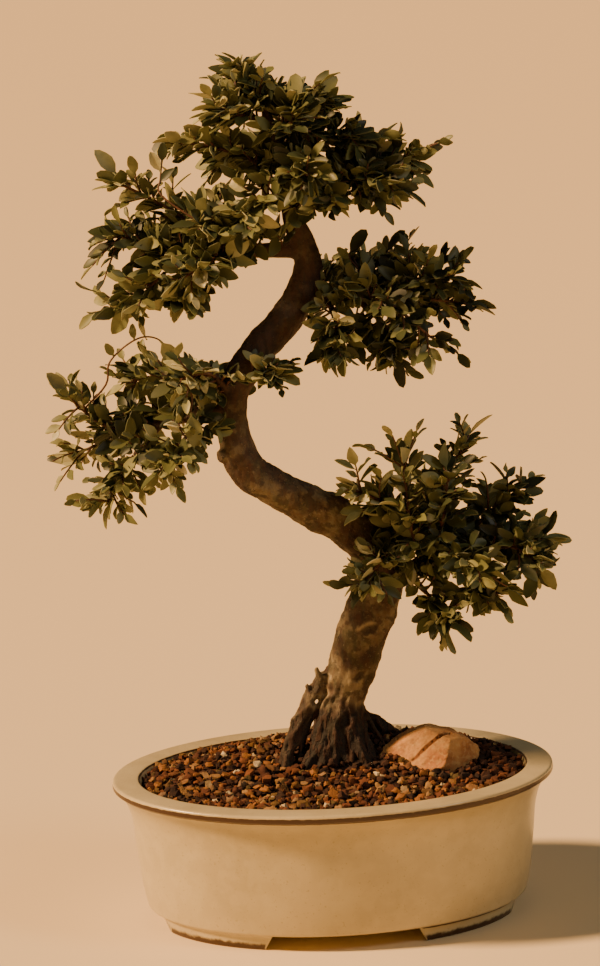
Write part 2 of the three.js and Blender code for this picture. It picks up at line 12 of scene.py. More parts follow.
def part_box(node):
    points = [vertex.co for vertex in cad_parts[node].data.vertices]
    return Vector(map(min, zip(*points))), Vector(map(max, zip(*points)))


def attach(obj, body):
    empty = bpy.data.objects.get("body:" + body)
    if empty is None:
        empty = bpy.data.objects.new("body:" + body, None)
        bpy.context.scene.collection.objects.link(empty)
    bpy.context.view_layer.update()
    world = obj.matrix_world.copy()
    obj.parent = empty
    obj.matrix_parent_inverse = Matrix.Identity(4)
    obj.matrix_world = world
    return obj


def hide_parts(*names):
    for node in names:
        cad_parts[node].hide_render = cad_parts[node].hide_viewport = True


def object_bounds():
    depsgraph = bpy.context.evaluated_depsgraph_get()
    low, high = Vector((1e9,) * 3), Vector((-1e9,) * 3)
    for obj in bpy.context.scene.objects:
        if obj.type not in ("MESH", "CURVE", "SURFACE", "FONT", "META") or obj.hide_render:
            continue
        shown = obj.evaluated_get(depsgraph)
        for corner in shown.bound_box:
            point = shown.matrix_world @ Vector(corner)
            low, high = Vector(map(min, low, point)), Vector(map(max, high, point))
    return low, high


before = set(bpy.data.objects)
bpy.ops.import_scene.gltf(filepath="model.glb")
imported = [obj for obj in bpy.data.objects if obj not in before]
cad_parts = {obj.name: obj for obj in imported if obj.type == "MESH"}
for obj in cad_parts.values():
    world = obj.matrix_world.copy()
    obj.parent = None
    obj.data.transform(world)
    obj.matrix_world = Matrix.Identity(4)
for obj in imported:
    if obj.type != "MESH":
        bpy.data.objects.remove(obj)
cad_box = [list(corner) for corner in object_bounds()]

# The pot's middle on the table, and the step from millimetres about it to the frame
pot_low, pot_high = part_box("pot")
MIDDLE = Vector(((pot_low.x + pot_high.x) / 2, (pot_low.y + pot_high.y) / 2, 0))
TO_FRAME = Matrix.Translation(MIDDLE) @ Matrix.Scale(0.001, 4)
FROM_FRAME = TO_FRAME.inverted()
BOX_LOW, BOX_HIGH = (FROM_FRAME @ Vector(corner) for corner in cad_box)

# The photograph's view, worked out from the pot's rim: millimetres, degrees and pixels
PHOTO = {"width": 600, "height": 966, "focus": 3296.35, "axis_x": 321.06, "axis_y": 488.16}
VIEW = {"target": (0, 0, 200), "distance": 1500, "yaw": 3.0, "pitch": 11.054, "roll": 2.376}
SENSOR = 36

# Pot, in millimetres
POT = {"length": 102, "width": 77, "height": 68, "rim": 12.5, "lip": 2.2, "floor": 13, "bottom": 6}
POT_CORE = 60
POT_STEPS = 192
FOOT = {"outer": 84, "inner": 66, "front_gap": 66, "end_gap": 36, "slant": 4, "gap_top": 7.2}
DRAIN = {"radius": 8, "offset": 40}
INNER_WALL = [(77, POT["floor"]), (84, POT["floor"] + 5), (87.5, 45), (88.6, 64)]

# The crease over the feet, where a dark line of painted shade lies, stronger to the right: its distance from
# the middle and its height
CREASE = (86.3, 7.4)

# Soil, and the size of the bed under its loose grains
SOIL = {"rim": 64.5, "mound": 16, "x": 4, "y": 20, "spread_x": 62, "spread_y": 30}
SOIL_LENGTH = POT["length"] - POT["rim"] - 0.9
SOIL_WIDTH = POT["width"] - POT["rim"] - 0.9

# Leaves and shoots, by the same rule as the solids
SEED = 20811
LEAF = {"length": 15.5, "half_width": 3.8, "edge_lift": 0.7, "tip_droop": 1.1, "thickness": 0.28}
TWIG = {"base": 0.95, "tip": 0.6}
LEAVES_PER_SHOOT = 6
SHOOT_LEAN = 1.0
LEAF_TRIES = 6
SHOOT_TRIES = 10
CLEARANCE = 0.3

# The finer leaves: their faces, the crease that keeps a crisp edge, their stalk and their side veins
LEAF_STEPS = 6
LEAF_CELLS = 2
LEAF_CROWDING = 0.6
LEAF_CREASE = 0.9
KEPT_SHARE = 0.86
STALK = 0.11
STALK_HALF_WIDTH = 0.36
SHOULDER = 0.72
SIDE_VEINS = 9

# The finer shoots: leaves along the spray's twig, side twigs on it and spurs on its branch
EXTRA_LEAVES = 12
SIDE_TWIGS = 11
SIDE_LEAVES = 6
SPURS = 8
MAIN_SPURS = 14
SPUR_LEAVES = 5
LEAF_TURN = 2.4
SPUR_TURN = 2.1
WHOLE_TURN = 6.3

# Sizes of the skins that are remeshed, and the distance at which points count as one
TRUNK_VOXEL = 0.88
STONE_VOXEL = 0.55
DOUBLES = 1e-3

# Trunk centreline with its radius, from the root base to the leader: x, y, z, radius
TRUNK = [
    (-2, 14, 58, 9), (0, 14, 76, 9), (3, 14, 89, 9), (6.2, 13.5, 97.5, 10.3), (9.2, 13, 106.5, 11.2),
    (14.6, 12.5, 121.5, 12), (19.2, 12, 134, 11.9), (24, 12, 146, 11.2), (26, 12, 158, 11.2),
    (22.5, 10, 170, 11), (14, 8, 179, 10.4), (6.5, 6, 185, 10), (-1.5, 4, 189, 9.6), (-11, 1, 195, 9),
    (-23, -3, 203, 8.5),
    (-31, -5, 209, 8.4), (-36, -6, 217, 8.4), (-38, -6, 226, 7.8), (-39.5, -5, 236, 7), (-38, -4, 246, 7),
    (-33, -3, 256, 7.4), (-26, -1, 265, 7.6), (-18, 2, 272.5, 7.7), (-10, 5, 281, 7.6), (-4.5, 7, 290, 7),
    (-1.5, 8, 301, 6.4), (-3, 8, 310, 5.8), (-6.5, 7, 320, 5), (-8.5, 6, 330, 4.4), (-9.5, 4, 344, 3.6),
    (-13, 2, 359, 2.7), (-18, 0, 373, 1.8),
]

# Surface roots: the route, then the first and last radius
ROOTS = [
    (((1, 11, 110), (-6.5, 8, 104), (-12.5, 5, 94), (-18, 2, 82), (-22.5, -1, 70), (-25, -3, 61)), 4, 3),
    (((4, 8, 104), (-1, 5, 96), (-3, 2, 86), (-6, -1, 75), (-8, -4, 62)), 3.4, 2.6),
    (((6, 5, 100), (3, 2, 90), (1, -1, 79), (-1, -4, 63)), 3.8, 2.6),
    (((9, 6, 99), (9, 3, 90), (8, 0, 80), (9, -4, 63)), 3.8, 2.6),
    (((10, 10, 98), (13, 7, 88), (16.2, 3, 78), (19.5, -3, 64)), 3.6, 2.6),
    (((-4, 1, 81), (-9, -1, 75), (-13, -3, 69), (-16, -5, 61)), 2.6, 2.2),
    (((9, 2, 87), (12, -1, 80), (15, -4, 71), (16, -7, 61)), 2.6, 2.2),
    (((8, 14, 97), (14, 17, 87), (20, 20, 83), (27, 25, 77.5), (35, 31, 69), (41, 35, 61)), 6, 4),
    (((5, 17, 96), (9, 27, 86), (15, 37, 74), (19, 44, 61)), 5, 3),
    (((3, 18, 96), (0, 27, 85), (-6, 37, 73), (-10, 44, 61)), 5, 3),
    (((-1, 15, 80), (-11, 19, 74), (-24, 23, 69), (-35, 25, 61)), 4.5, 3),
]

# Pruned stubs on the trunk, and the small spur on its left: the route, then the two radii
STUBS = [
    (((19, 8, 133), (19, 1, 133.5), (19, -1, 134)), 5.4, 4.2),
    (((6, 11, 106), (-3, 8, 109), (-5.5, 7, 114.5)), 2.6, 1.1),
    (((-2, 9, 100), (-8, 7, 103), (-10.5, 6, 107)), 2.4, 1),
    (((-36, -5, 222), (-44, -9, 219), (-46, -10, 218.5)), 3.6, 2.8),
]

# Branches: foliage pad, first radius, route from the parent's centreline, and where the leafy shoot ends
BRANCHES = [
    ("low", 4.8, ((25, 12, 152), (42, 6, 160), (60, 1, 166), (76, -2, 170)), (115, -5, 174)),
    ("low", 2.4, ((44, 6, 161), (50, 8, 180)), (76, 10, 233)),
    ("low", 2.2, ((60, 1, 166), (71, 4, 178)), (103, 6, 203)),
    ("low", 2.2, ((54, 2, 164), (64, -8, 154)), (91, -22, 146)),
    ("low", 2.2, ((38, 7, 158), (46, -8, 150)), (62, -28, 130)),
    ("low", 2.2, ((50, 3, 163), (56, -18, 168)), (80, -44, 163)),
    ("low", 2.2, ((62, 1, 166), (72, 18, 168)), (97, 42, 162)),
    ("low", 2.4, ((32, 9, 156), (26, -10, 166)), (8, -30, 150)),
    ("low", 2.4, ((25, 12, 162), (34, 0, 180)), (8, -20, 210)),
    ("low", 2.2, ((47, 4, 162), (53, -12, 182)), (57, -26, 224)),
    ("low", 2.2, ((45, 5, 161), (50, 24, 178)), (50, 44, 206)),
    ("low", 2, ((70, -1, 169), (83, -17, 172)), (106, -34, 156)),
    ("low", 2, ((46, 5, 161), (42, -8, 172)), (35, -18, 225)),
    ("left", 4.2, ((-38.5, -5, 238), (-56, -8, 238), (-74, -6, 234), (-82, -4, 232)), (-126, 2, 256)),
    ("left", 2.2, ((-55, -8, 238), (-62, 0, 250)), (-101, 8, 253)),
    ("left", 2.2, ((-72, -6, 234), (-84, -14, 222)), (-104, -24, 190)),
    ("left", 2.2, ((-62, -7, 237), (-74, 14, 232)), (-121, 22, 214)),
    ("left", 2.2, ((-50, -7, 238), (-60, -22, 231)), (-82, -40, 208)),
    ("left", 2.2, ((-38, -4, 245), (-46, -16, 256)), (-78, -34, 256)),
    ("left", 2, ((-33, -3, 255), (-25, -15, 257)), (-8, -27, 255)),
    ("left", 2.2, ((-39, -5, 236), (-48, 14, 244)), (-72, 36, 248)),
    ("right", 3.6, ((-5, 7, 289), (10, 5, 287), (28, 2, 285), (38, 1, 285)), (85, -4, 280)),
    ("right", 2, ((14, 4, 287), (23, 8, 296)), (60, 12, 302)),
    ("right", 2, ((20, 3, 286), (30, -10, 276)), (40, -26, 249)),
    ("right", 2, ((28, 2, 285), (38, 18, 284)), (64, 40, 279)),
    ("right", 2, ((17, 4, 286), (26, -14, 288)), (61, -34, 263)),
    ("right", 2, ((7, 6, 287), (9, -9, 278)), (6, -27, 256)),
    ("right", 2.2, ((-3, 7, 294), (8, 24, 292)), (36, 44, 290)),
    ("right", 2, ((34, 1, 285), (42, -10, 293)), (78, -16, 296)),
    ("upper", 4.4, ((-3, 8, 309), (-24, 6, 309), (-46, 2, 310), (-60, 0, 313)), (-100, -4, 323)),
    ("upper", 2.2, ((-38, 4, 310), (-51, 6, 321)), (-97, 8, 350)),
    ("upper", 2.2, ((-54, 1, 312), (-66, -8, 303)), (-94, -16, 278)),
    ("upper", 2.2, ((-46, 2, 310), (-56, 18, 313)), (-86, 42, 314)),
    ("upper", 2.2, ((-34, 4, 310), (-43, -14, 309)), (-70, -38, 298)),
    ("upper", 2, ((-49, 1, 311), (-54, -9, 301)), (-64, -20, 279)),
    ("upper", 2.2, ((-26, 6, 309), (-35, -9, 318)), (-62, -26, 332)),
    ("upper", 2.2, ((-28, 6, 309), (-36, 21, 317)), (-60, 42, 332)),
    ("crown", 2.8, ((-8, 6, 329), (9, 8, 338), (20, 8, 343), (24, 8, 344)), (62, 6, 350)),
    ("crown", 2, ((9, 8, 338), (19, -8, 341)), (52, -28, 335)),
    ("crown", 2, ((14, 8, 340), (24, 22, 343)), (48, 42, 344)),
    ("crown", 1.8, ((18, 8, 342), (24, 0, 336)), (38, -20, 335)),
    ("crown", 1.8, ((-8, 6, 332), (1, -8, 332)), (18, -28, 339)),
    ("crown", 2.2, ((-9.5, 4, 342), (-24, 1, 350)), (-71, -4, 365)),
    ("crown", 1.8, ((-14, 2, 361), (-4, 4, 369)), (24, 8, 378)),
    ("crown", 2, ((-9.5, 4, 342), (-6, -13, 347)), (3, -42, 343)),
    ("crown", 2, ((-10, 4, 346), (-11, 22, 352)), (-15, 48, 355)),
    ("crown", 2, ((-8.5, 6, 334), (-22, -13, 335)), (-40, -34, 314)),
    ("crown", 2, ((-9.5, 4, 343), (-26, 19, 347)), (-52, 40, 349)),
    ("crown", 1.7, ((-16, 1, 367), (-27, -8, 371)), (-52, -18, 380)),
    ("crown", 1.7, ((-15, 1, 363), (-8, -12, 367)), (-1, -16, 390)),
    ("crown", 1.8, ((-10.5, 4, 348), (6, 2, 356)), (35, -6, 361)),
    ("crown", 1.8, ((-17, 0, 370), (-19, -1, 375)), (-39, -3, 402)),
]
BRANCH_TIP_RADIUS = 1.25
MAIN_BRANCH_RADIUS = 2.5
UP = Vector((0, 0, 1))
WORD = 0xFFFFFFFF


def draw(*keys):
    """A number from 0 to 1 that depends only on the whole numbers given. The last one names the draw."""
    value = SEED
    for key in keys:
        value = ((value ^ (key + 1)) * 2654435761) & WORD
        value ^= value >> 15
    value = ((value ^ (value >> 13)) * 2246822519) & WORD
    value ^= value >> 16
    return value / (WORD + 1)


def spread(amount, *keys):
    return (draw(*keys) * 2 - 1) * amount


def scatter(amount, numbers, *keys):
    """A short step in space, with a draw for each way."""
    return Vector([spread(amount, *keys, number) for number in numbers])


def mix(low, high, share):
    return low + (high - low) * share


def smoothstep(low, high, value):
    share = min(max((value - low) / (high - low), 0), 1)
    return share * share * (3 - 2 * share)


def fade(low, high, value):
    """1 up to the low value, 0 from the high one on, and smooth between them."""
    return 1 - smoothstep(low, high, value)


# Shader helpers


def feed(tree, value, socket):
    """Links an output to a socket, or sets the socket to a plain value."""
    if isinstance(value, bpy.types.NodeSocket):
        tree.links.new(value, socket)
    else:
        socket.default_value = value


def node(tree, kind, values=None, **settings):
    """A shader node with its settings, and a value or a link for each socket named."""
    made = tree.nodes.new(kind)
    for key, value in settings.items():
        setattr(made, key, value)
    for key, value in (values or {}).items():
        feed(tree, value, made.inputs[key])
    return made


def colour(code):
    """A colour for a shader, from its usual six-figure code."""
    parts = [int(code[i:i + 2], 16) / 255 for i in (0, 2, 4)]
    return (*[part / 12.92 if part <= 0.04045 else ((part + 0.055) / 1.055) ** 2.4 for part in parts], 1)


def patches_group():
    """A shader group: soft-edged patches of a given size, as a mask and as the plain noise."""
    tree = bpy.data.node_groups.new("patches", "ShaderNodeTree")
    tree.interface.new_socket("Vector", in_out="INPUT", socket_type="NodeSocketVector")
    for name in ("Scale", "Detail", "Low", "High"):
        tree.interface.new_socket(name, in_out="INPUT", socket_type="NodeSocketFloat")
    for name in ("Mask", "Noise"):
        tree.interface.new_socket(name, in_out="OUTPUT", socket_type="NodeSocketFloat")
    given = tree.nodes.new("NodeGroupInput").outputs
    texture = node(tree, "ShaderNodeTexNoise",
                   {"Vector": given["Vector"], "Scale": given["Scale"], "Detail": given["Detail"]})
    mask = node(tree, "ShaderNodeMapRange",
                {"Value": texture.outputs["Fac"], "From Min": given["Low"], "From Max": given["High"]},
                interpolation_type="SMOOTHSTEP")
    result = tree.nodes.new("NodeGroupOutput")
    tree.links.new(mask.outputs["Result"], result.inputs["Mask"])
    tree.links.new(texture.outputs["Fac"], result.inputs["Noise"])
    return tree


PATCHES = patches_group()


class Finish:
    """One material as it is built up: a base colour, and masks that lay other colours over it."""

    def __init__(self, name, base):
        """The base is one colour code, or the stops of a ramp along the tint of each leaf or grain."""
        self.material = bpy.data.materials.new(name)
        self.material.use_nodes = True
        self.tree = self.material.node_tree
        self.shader = self.tree.nodes["Principled BSDF"]
        self.place = node(self.tree, "ShaderNodeTexCoord").outputs["Object"]
        self.base = colour(base) if isinstance(base, str) else self.ramp(self.marked("tint"), base)

    def ramp(self, factor, stops):
        """Colours along a factor: each stop is a place and a colour code."""
        made = node(self.tree, "ShaderNodeValToRGB", {"Fac": factor})
        elements = made.color_ramp.elements
        while len(elements) < len(stops):
            elements.new(0.5)
        for element, (place, code) in zip(elements, stops):
            element.position = place
            element.color = colour(code)
        return made.outputs["Color"]

    def marked(self, name):
        """A value that the mesh carries at its points."""
        return node(self.tree, "ShaderNodeAttribute", attribute_name=name).outputs["Fac"]

    def height(self):
        return node(self.tree, "ShaderNodeSeparateXYZ", {"Vector": self.place}).outputs["Z"]

    def patches(self, size, low=0.45, high=0.6, detail=3.0, place=None):
        """Patches about so many millimetres across, where the noise is above low."""
        place = self.place if place is None else place
        values = {"Vector": place, "Scale": 1000 / size, "Detail": detail, "Low": low, "High": high}
        return node(self.tree, "ShaderNodeGroup", values, node_tree=PATCHES).outputs

    def mask(self, *sizes, **settings):
        return self.patches(*sizes, **settings)["Mask"]

    def noise(self, size):
        return self.patches(size)["Noise"]

    def sums(self, way, *values):
        return node(self.tree, "ShaderNodeMath", dict(enumerate(values)), operation=way).outputs[0]

    def times(self, *values):
        return self.sums("MULTIPLY", *values)

    def ranged(self, value, low, high, first=0.0, last=1.0, way="LINEAR"):
        """A value that runs from the first to the last while the one given runs from low to high."""
        values = {"Value": value, "From Min": low, "From Max": high, "To Min": first, "To Max": last}
        return node(self.tree, "ShaderNodeMapRange", values, interpolation_type=way).outputs["Result"]

    def cover(self, mask, code, strength=None, way="MIX"):
        """Lays a colour over what is there, as strongly as the mask says."""
        share = mask if strength is None else self.times(mask, strength)
        values = {0: share, 6: self.base, 7: colour(code)}
        self.base = node(self.tree, "ShaderNodeMix", values, data_type="RGBA", blend_type=way).outputs[2]

    def done(self, roughness, relief, height, strength):
        """The material with its colour, its roughness and relief too fine for the mesh, in millimetres."""
        feed(self.tree, self.base, self.shader.inputs["Base Color"])
        feed(self.tree, roughness, self.shader.inputs["Roughness"])
        values = {"Height": relief, "Distance": height / 1000, "Strength": strength}
        normal = node(self.tree, "ShaderNodeBump", values).outputs["Normal"]
        feed(self.tree, normal, self.shader.inputs["Normal"])
        return self.material


def glaze_material():
    """Pale celadon glaze with fine specks, thin and brown at the edges, over brown clay, with painted shade
    under the rim and in the crease over the feet.
    """
    glaze = Finish("celadon glaze", "bdb18d")
    glaze.cover(glaze.mask(34, 0.35, 0.7, 2.0), "a89d7b", 0.55)
    glaze.cover(glaze.mask(7, 0.4, 0.66), "cabf99", 0.3)
    glaze.cover(glaze.mask(1.1, 0.66, 0.74, 1.0), "857850", 0.35)
    height = glaze.height()
    # Painted shade on the neck, under the rim's overhang.
    neck_shade = glaze.times(glaze.ranged(height, 0.052, 0.0625), glaze.ranged(height, 0.0645, 0.0625))
    glaze.cover(neck_shade, "8d8565", 0.3)
    wander = glaze.sums("MULTIPLY_ADD", glaze.noise(3), 0.7, -0.35)
    thin = glaze.sums("ADD", glaze.marked("thin"), wander)
    # Brown where the glaze is thin, and the crease's painted shade in the same mark.
    glaze.cover(glaze.ranged(thin, 0.35, 0.75, way="SMOOTHSTEP"), "3a2311")
    clay = glaze.marked("clay")
    glaze.cover(clay, "65432b")
    glaze.shader.inputs["Coat Weight"].default_value = 0.15
    glaze.shader.inputs["Coat Roughness"].default_value = 0.2
    return glaze.done(glaze.ranged(clay, 0, 1, 0.3, 0.85), glaze.noise(2.4), 0.12, 0.6)


def bark_material():
    """Smooth grey bark, mottled brown, rust and black, with pale pores. Roots and young wood are darker.
    Painted shade darkens the upper trunk, the base of the roots and the recesses, and pale patches low on the
    trunk are partly painted light.
    """
    bark = Finish("elm bark", "857a60")
    small = bark.mask(4.6, 0.46, 0.57)
    pore = bark.mask(1.3, 0.62, 0.7, 2.0)
    bark.cover(bark.mask(14, 0.4, 0.55), "3d2f23", 0.85)
    bark.cover(small, "2b1f18", 0.7)
    bark.cover(bark.mask(7.5, 0.5, 0.62), "5c3b26", 0.35)
    bark.cover(bark.mask(10, 0.5, 0.64), "5a5835", 0.35)
    bark.cover(pore, "b0a284", 0.4)
    bark.cover(bark.noise(0.8), "4b3d33", 0.5, "MULTIPLY")
    # Painted shade: the trunk darker from 190 mm up, under the foliage pads.
    bark.cover(bark.ranged(bark.height(), 0.19, 0.25, last=0.72), "2b1d16")
    clean = bark.sums("SUBTRACT", 1.0, bark.times(small, 0.6))
    # Pale patches low on the trunk: the bark's own, with painted light that reaches higher on the lit left
    # side.
    bark.cover(bark.times(bark.marked("pale"), clean), "a99c7c", 0.75)
    bark.cover(bark.marked("young"), "3b281d")
    drawn_out = node(bark.tree, "ShaderNodeMapping", {"Vector": bark.place, "Scale": (1, 1, 0.2)})
    streak = bark.mask(2.2, 0.44, 0.6, 2.0, place=drawn_out.outputs["Vector"])
    bark.cover(streak, "52301c", 0.25)
    # Nearly black roots: dark root wood with painted shade at the base of the trunk.
    root = bark.marked("root")
    bark.cover(root, "0c0503", bark.sums("SUBTRACT", 1.0, bark.times(small, 0.2)))
    bark.cover(root, "41230f", bark.times(streak, 0.5))
    # Painted shade in the recesses: under the scar's lid, in the knot and along the seam.
    bark.cover(bark.marked("hollow_shade"), "2a1b12")
    bark.cover(bark.marked("callus"), "b5a482")
    relief = bark.sums("ADD", bark.times(pore, 0.6), bark.noise(1.6))
    relief = bark.sums("ADD", relief, bark.times(root, bark.times(streak, 1.2)))
    return bark.done(0.8, relief, 0.45, 0.9)


def soil_material():
    """Fired clay grains, each with its own colour from its tint, which also carries painted shade."""
    soil = Finish("clay grains", GRAIN_STOPS)
    soil.cover(soil.mask(2.2, 0.4, 0.7), "553519", 0.35)
    soil.cover(soil.noise(0.6), "6e4a33", 0.4, "MULTIPLY")
    return soil.done(0.88, soil.noise(0.7), 0.35, 0.8)


def stone_material():
    """Split orange-tan stone, pinker and browner in places, with painted shade in its grooves."""
    stone = Finish("split stone", "bf9058")
    stone.cover(stone.mask(12, 0.4, 0.62), "9f633a", 0.7)
    stone.cover(stone.mask(5, 0.55, 0.68), "74492a", 0.45)
    stone.cover(stone.mask(1.8, 0.5, 0.62), "cfac72", 0.35)
    # Painted shade in the grooves.
    stone.cover(stone.marked("groove_shade"), "75461f")
    return stone.done(0.85, stone.noise(1.4), 0.4, 0.9)


def leaf_material(name, stops, vein_code, roughness, vein_depth):
    """A leaf face: its own tint, a pale rib and side veins from the leaf's UV map, and small flaws."""
    leaf = Finish(name, stops)
    chart = node(leaf.tree, "ShaderNodeUVMap").outputs["UV"]
    chart = node(leaf.tree, "ShaderNodeSeparateXYZ", {"Vector": chart}).outputs
    off_rib = leaf.sums("ABSOLUTE", leaf.sums("SUBTRACT", chart["Y"], 0.5))
    rib = leaf.ranged(off_rib, 0.045, 0.01)
    slanted = leaf.sums("SUBTRACT", chart["X"], leaf.times(off_rib, 0.42))
    wave = leaf.sums("SINE", leaf.times(slanted, 2 * math.pi * SIDE_VEINS))
    lines = leaf.sums("MAXIMUM", rib, leaf.times(leaf.ranged(wave, 0.72, 1.0), 0.45))
    leaf.cover(leaf.mask(5, 0.4, 0.7), "3b4a24", 0.3)
    leaf.cover(leaf.mask(1.6, 0.7, 0.78), "8a7a3a", 0.5)
    leaf.cover(lines, vein_code, 0.55)
    leaf.shader.inputs["Specular IOR Level"].default_value = 0.4
    return leaf.done(roughness, leaf.times(lines, -1.0), vein_depth, 0.6)


def twig_material():
    """Thin reddish-brown shoots."""
    twig = Finish("young twig", "5b3c2a")
    twig.cover(twig.mask(3, 0.4, 0.6), "3a2519", 0.6)
    return twig.done(0.6, twig.noise(0.8), 0.1, 0.6)


def screen_material():
    """Coarse dark plastic mesh."""
    screen = Finish("mesh plastic", "1d1f1c")
    screen.cover(screen.mask(4, 0.4, 0.6), "33342e", 0.5)
    return screen.done(0.55, screen.noise(0.5), 0.05, 0.5)


# Mesh helpers


def mesh_of(name, bm):
    """The mesh of a bmesh, which isn't needed any more."""
    mesh = bpy.data.meshes.new(name)
    bm.to_mesh(mesh)
    bm.free()
    return mesh


def put_in_scene(name, data):
    made = bpy.data.objects.new(name, data)
    bpy.context.scene.collection.objects.link(made)
    return made


def piece_of(name, bm, materials, slot, *nodes):
    """Makes the piece from its mesh in millimetres, stands it in the frame and hides the solids it replaces.
    """
    bm.transform(TO_FRAME)
    mesh = mesh_of(name, bm)
    for material in materials:
        mesh.materials.append(material)
    mesh.shade_smooth()
    piece = put_in_scene(name, mesh)
    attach(piece, "root")
    if nodes:
        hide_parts(*nodes)
    return piece


def with_modifier(bm, kind, **settings):
    """The mesh after one modifier, as a new bmesh."""
    mesh = mesh_of("draft", bm)
    draft = put_in_scene("draft", mesh)
    modifier = draft.modifiers.new("shape", kind)
    for key, value in settings.items():
        setattr(modifier, key, value)
    shaped = bmesh.new()
    shaped.from_object(draft, bpy.context.evaluated_depsgraph_get())
    bpy.data.objects.remove(draft)
    bpy.data.meshes.remove(mesh)
    return shaped


def remeshed(bm, voxel, passes):
    """The mesh as one even skin, smoothed so many times."""
    bm = with_modifier(bm, "REMESH", mode="VOXEL", voxel_size=voxel, adaptivity=0)
    for _ in range(passes):
        bmesh.ops.smooth_vert(bm, verts=bm.verts, factor=0.5, use_axis_x=True, use_axis_y=True,
                              use_axis_z=True)
    bm.normal_update()
    return bm


def move_points(bm, moves):
    for vert, move in zip(bm.verts, moves):
        vert.co += move


def bend(start, control, end, t):
    """A point of the curve from start to end that bends towards the control point."""
    return start.lerp(control, t).lerp(control.lerp(end, t), t)


def smooth_route(points, steps):
    """Points on a smooth curve through the given ones, with so many steps between each two."""
    given = [Vector(point) for point in points]
    ends = [2 * given[0] - given[1], *given, 2 * given[-1] - given[-2]]
    route = []
    for index in range(len(given) - 1):
        a, b, c, d = ends[index:index + 4]
        for step in range(steps):
            t = step / steps
            route.append((2 * b + (c - a) * t + (2 * a - 5 * b + 4 * c - d) * t ** 2
                          + (3 * b - a - 3 * c + d) * t ** 3) / 2)
    route.append(given[-1])
    return route


def route_ways(route):
    """The direction of a route at each of its points."""
    last = len(route) - 1
    return [(route[min(i + 1, last)] - route[max(i - 1, 0)]).normalized() for i in range(last + 1)]


def taper(radii, count):
    """So many radii, evenly between the given ones."""
    places = np.linspace(0, len(radii) - 1, count)
    return [float(value) for value in np.interp(places, range(len(radii)), radii)]


def tube(bm, route, radii, sides):
    """A closed round limb along a route: a grid bent round it, joined at its seam and capped."""
    steps = len(route) - 1
    grid = bmesh.ops.create_grid(bm, x_segments=steps, y_segments=sides, size=0.5, calc_uvs=True)["verts"]
    ways = route_ways(route)
    turn = ways[0].to_track_quat("Z", "Y")
    turns = [turn]
    for before, after in zip(ways, ways[1:]):
        turn = before.rotation_difference(after) @ turn
        turns.append(turn)
    for vert in grid:
        ring = round((vert.co.x + 0.5) * steps)
        angle = (vert.co.y + 0.5) * 2 * math.pi
        flat = Vector((math.cos(angle), math.sin(angle), 0)) * radii[ring]
        vert.co = route[ring] + turns[ring] @ flat
    bmesh.ops.remove_doubles(bm, verts=grid, dist=DOUBLES)
    kept = [vert for vert in grid if vert.is_valid]
    rims = {edge for vert in kept for edge in vert.link_edges if edge.is_boundary}
    bmesh.ops.holes_fill(bm, edges=list(rims))
    faces = {face for vert in kept for face in vert.link_faces}
    bmesh.ops.recalc_face_normals(bm, faces=list(faces))
    return list(faces)


# Pot


def rounded(corners, steps=5):
    """An outline with rounded corners. A corner is a distance from the middle, a height and a rounding."""
    outline = []
    for index, (radius, height, rounding) in enumerate(corners):
        here = Vector((radius, height))
        if not rounding:
            outline.append(here)
            continue
        before = Vector(corners[index - 1][:2])
        after = Vector(corners[index + 1][:2])
        start = here + (before - here).normalized() * rounding
        end = here + (after - here).normalized() * rounding
        outline += [bend(start, here, end, step / steps) for step in range(steps + 1)]
    return outline


def to_oval(bm):
    """Turns the round pot into an oval. The wall and rim keep one width all round."""
    inset = POT["length"] - POT["width"]
    for vert in bm.verts:
        radius = math.hypot(vert.co.x, vert.co.y)
        narrowed = radius - inset if radius > POT_CORE else radius * (POT_CORE - inset) / POT_CORE
        if radius > 0:
            vert.co.y *= narrowed / radius


def cut_away(bm, cutter):
    """The solid without the cutter, which is a bmesh too."""
    tool = put_in_scene("cutter", mesh_of("cutter", cutter))
    cut = with_modifier(bm, "BOOLEAN", operation="DIFFERENCE", solver="EXACT", object=tool)
    bpy.data.objects.remove(tool)
    return cut


def foot_gap(gap, length, turn):
    """A cutter for the slanted channel under the pot between two feet."""
    cutter = bmesh.new()
    made = bmesh.ops.create_cube(cutter, size=1)["verts"]
    for vert in made:
        low = vert.co.z < 0
        half = gap / 2 + (FOOT["slant"] if low else 0)
        end = -1 if low else FOOT["gap_top"]
        vert.co = Vector((math.copysign(half, vert.co.x), vert.co.y * length, end))
    bmesh.ops.rotate(cutter, verts=made, matrix=Matrix.Rotation(turn, 3, "Z"))
    return cutter


def pot_corners():
    """The pot's outline: along its underside, down a foot, up the wall, over the rim and down inside."""
    rim, top, lip = POT["length"], POT["height"], POT["lip"]
    return [
        (0, POT["bottom"], 0), (FOOT["inner"] - 2, POT["bottom"], 0), (FOOT["inner"], 0, 1),
        (FOOT["outer"], 0, 1), (85.2, 6, 0.8), (86, 7.2, 0.5), (88.2, 8.1, 1), (90.4, 18, 6), (92.3, 36, 8.5),
        (93.4, 50, 5), (96.6, 60.5, 4.8), (rim - 1, top - lip - 1.6, 0.5), (rim, top - lip - 0.9, 0.5),
        (rim - 0.2, top, 1.4), (rim - POT["rim"], top, 1.5),
        *[(radius, height, 2) for radius, height in reversed(INNER_WALL)], (0, POT["floor"], 0),
    ]


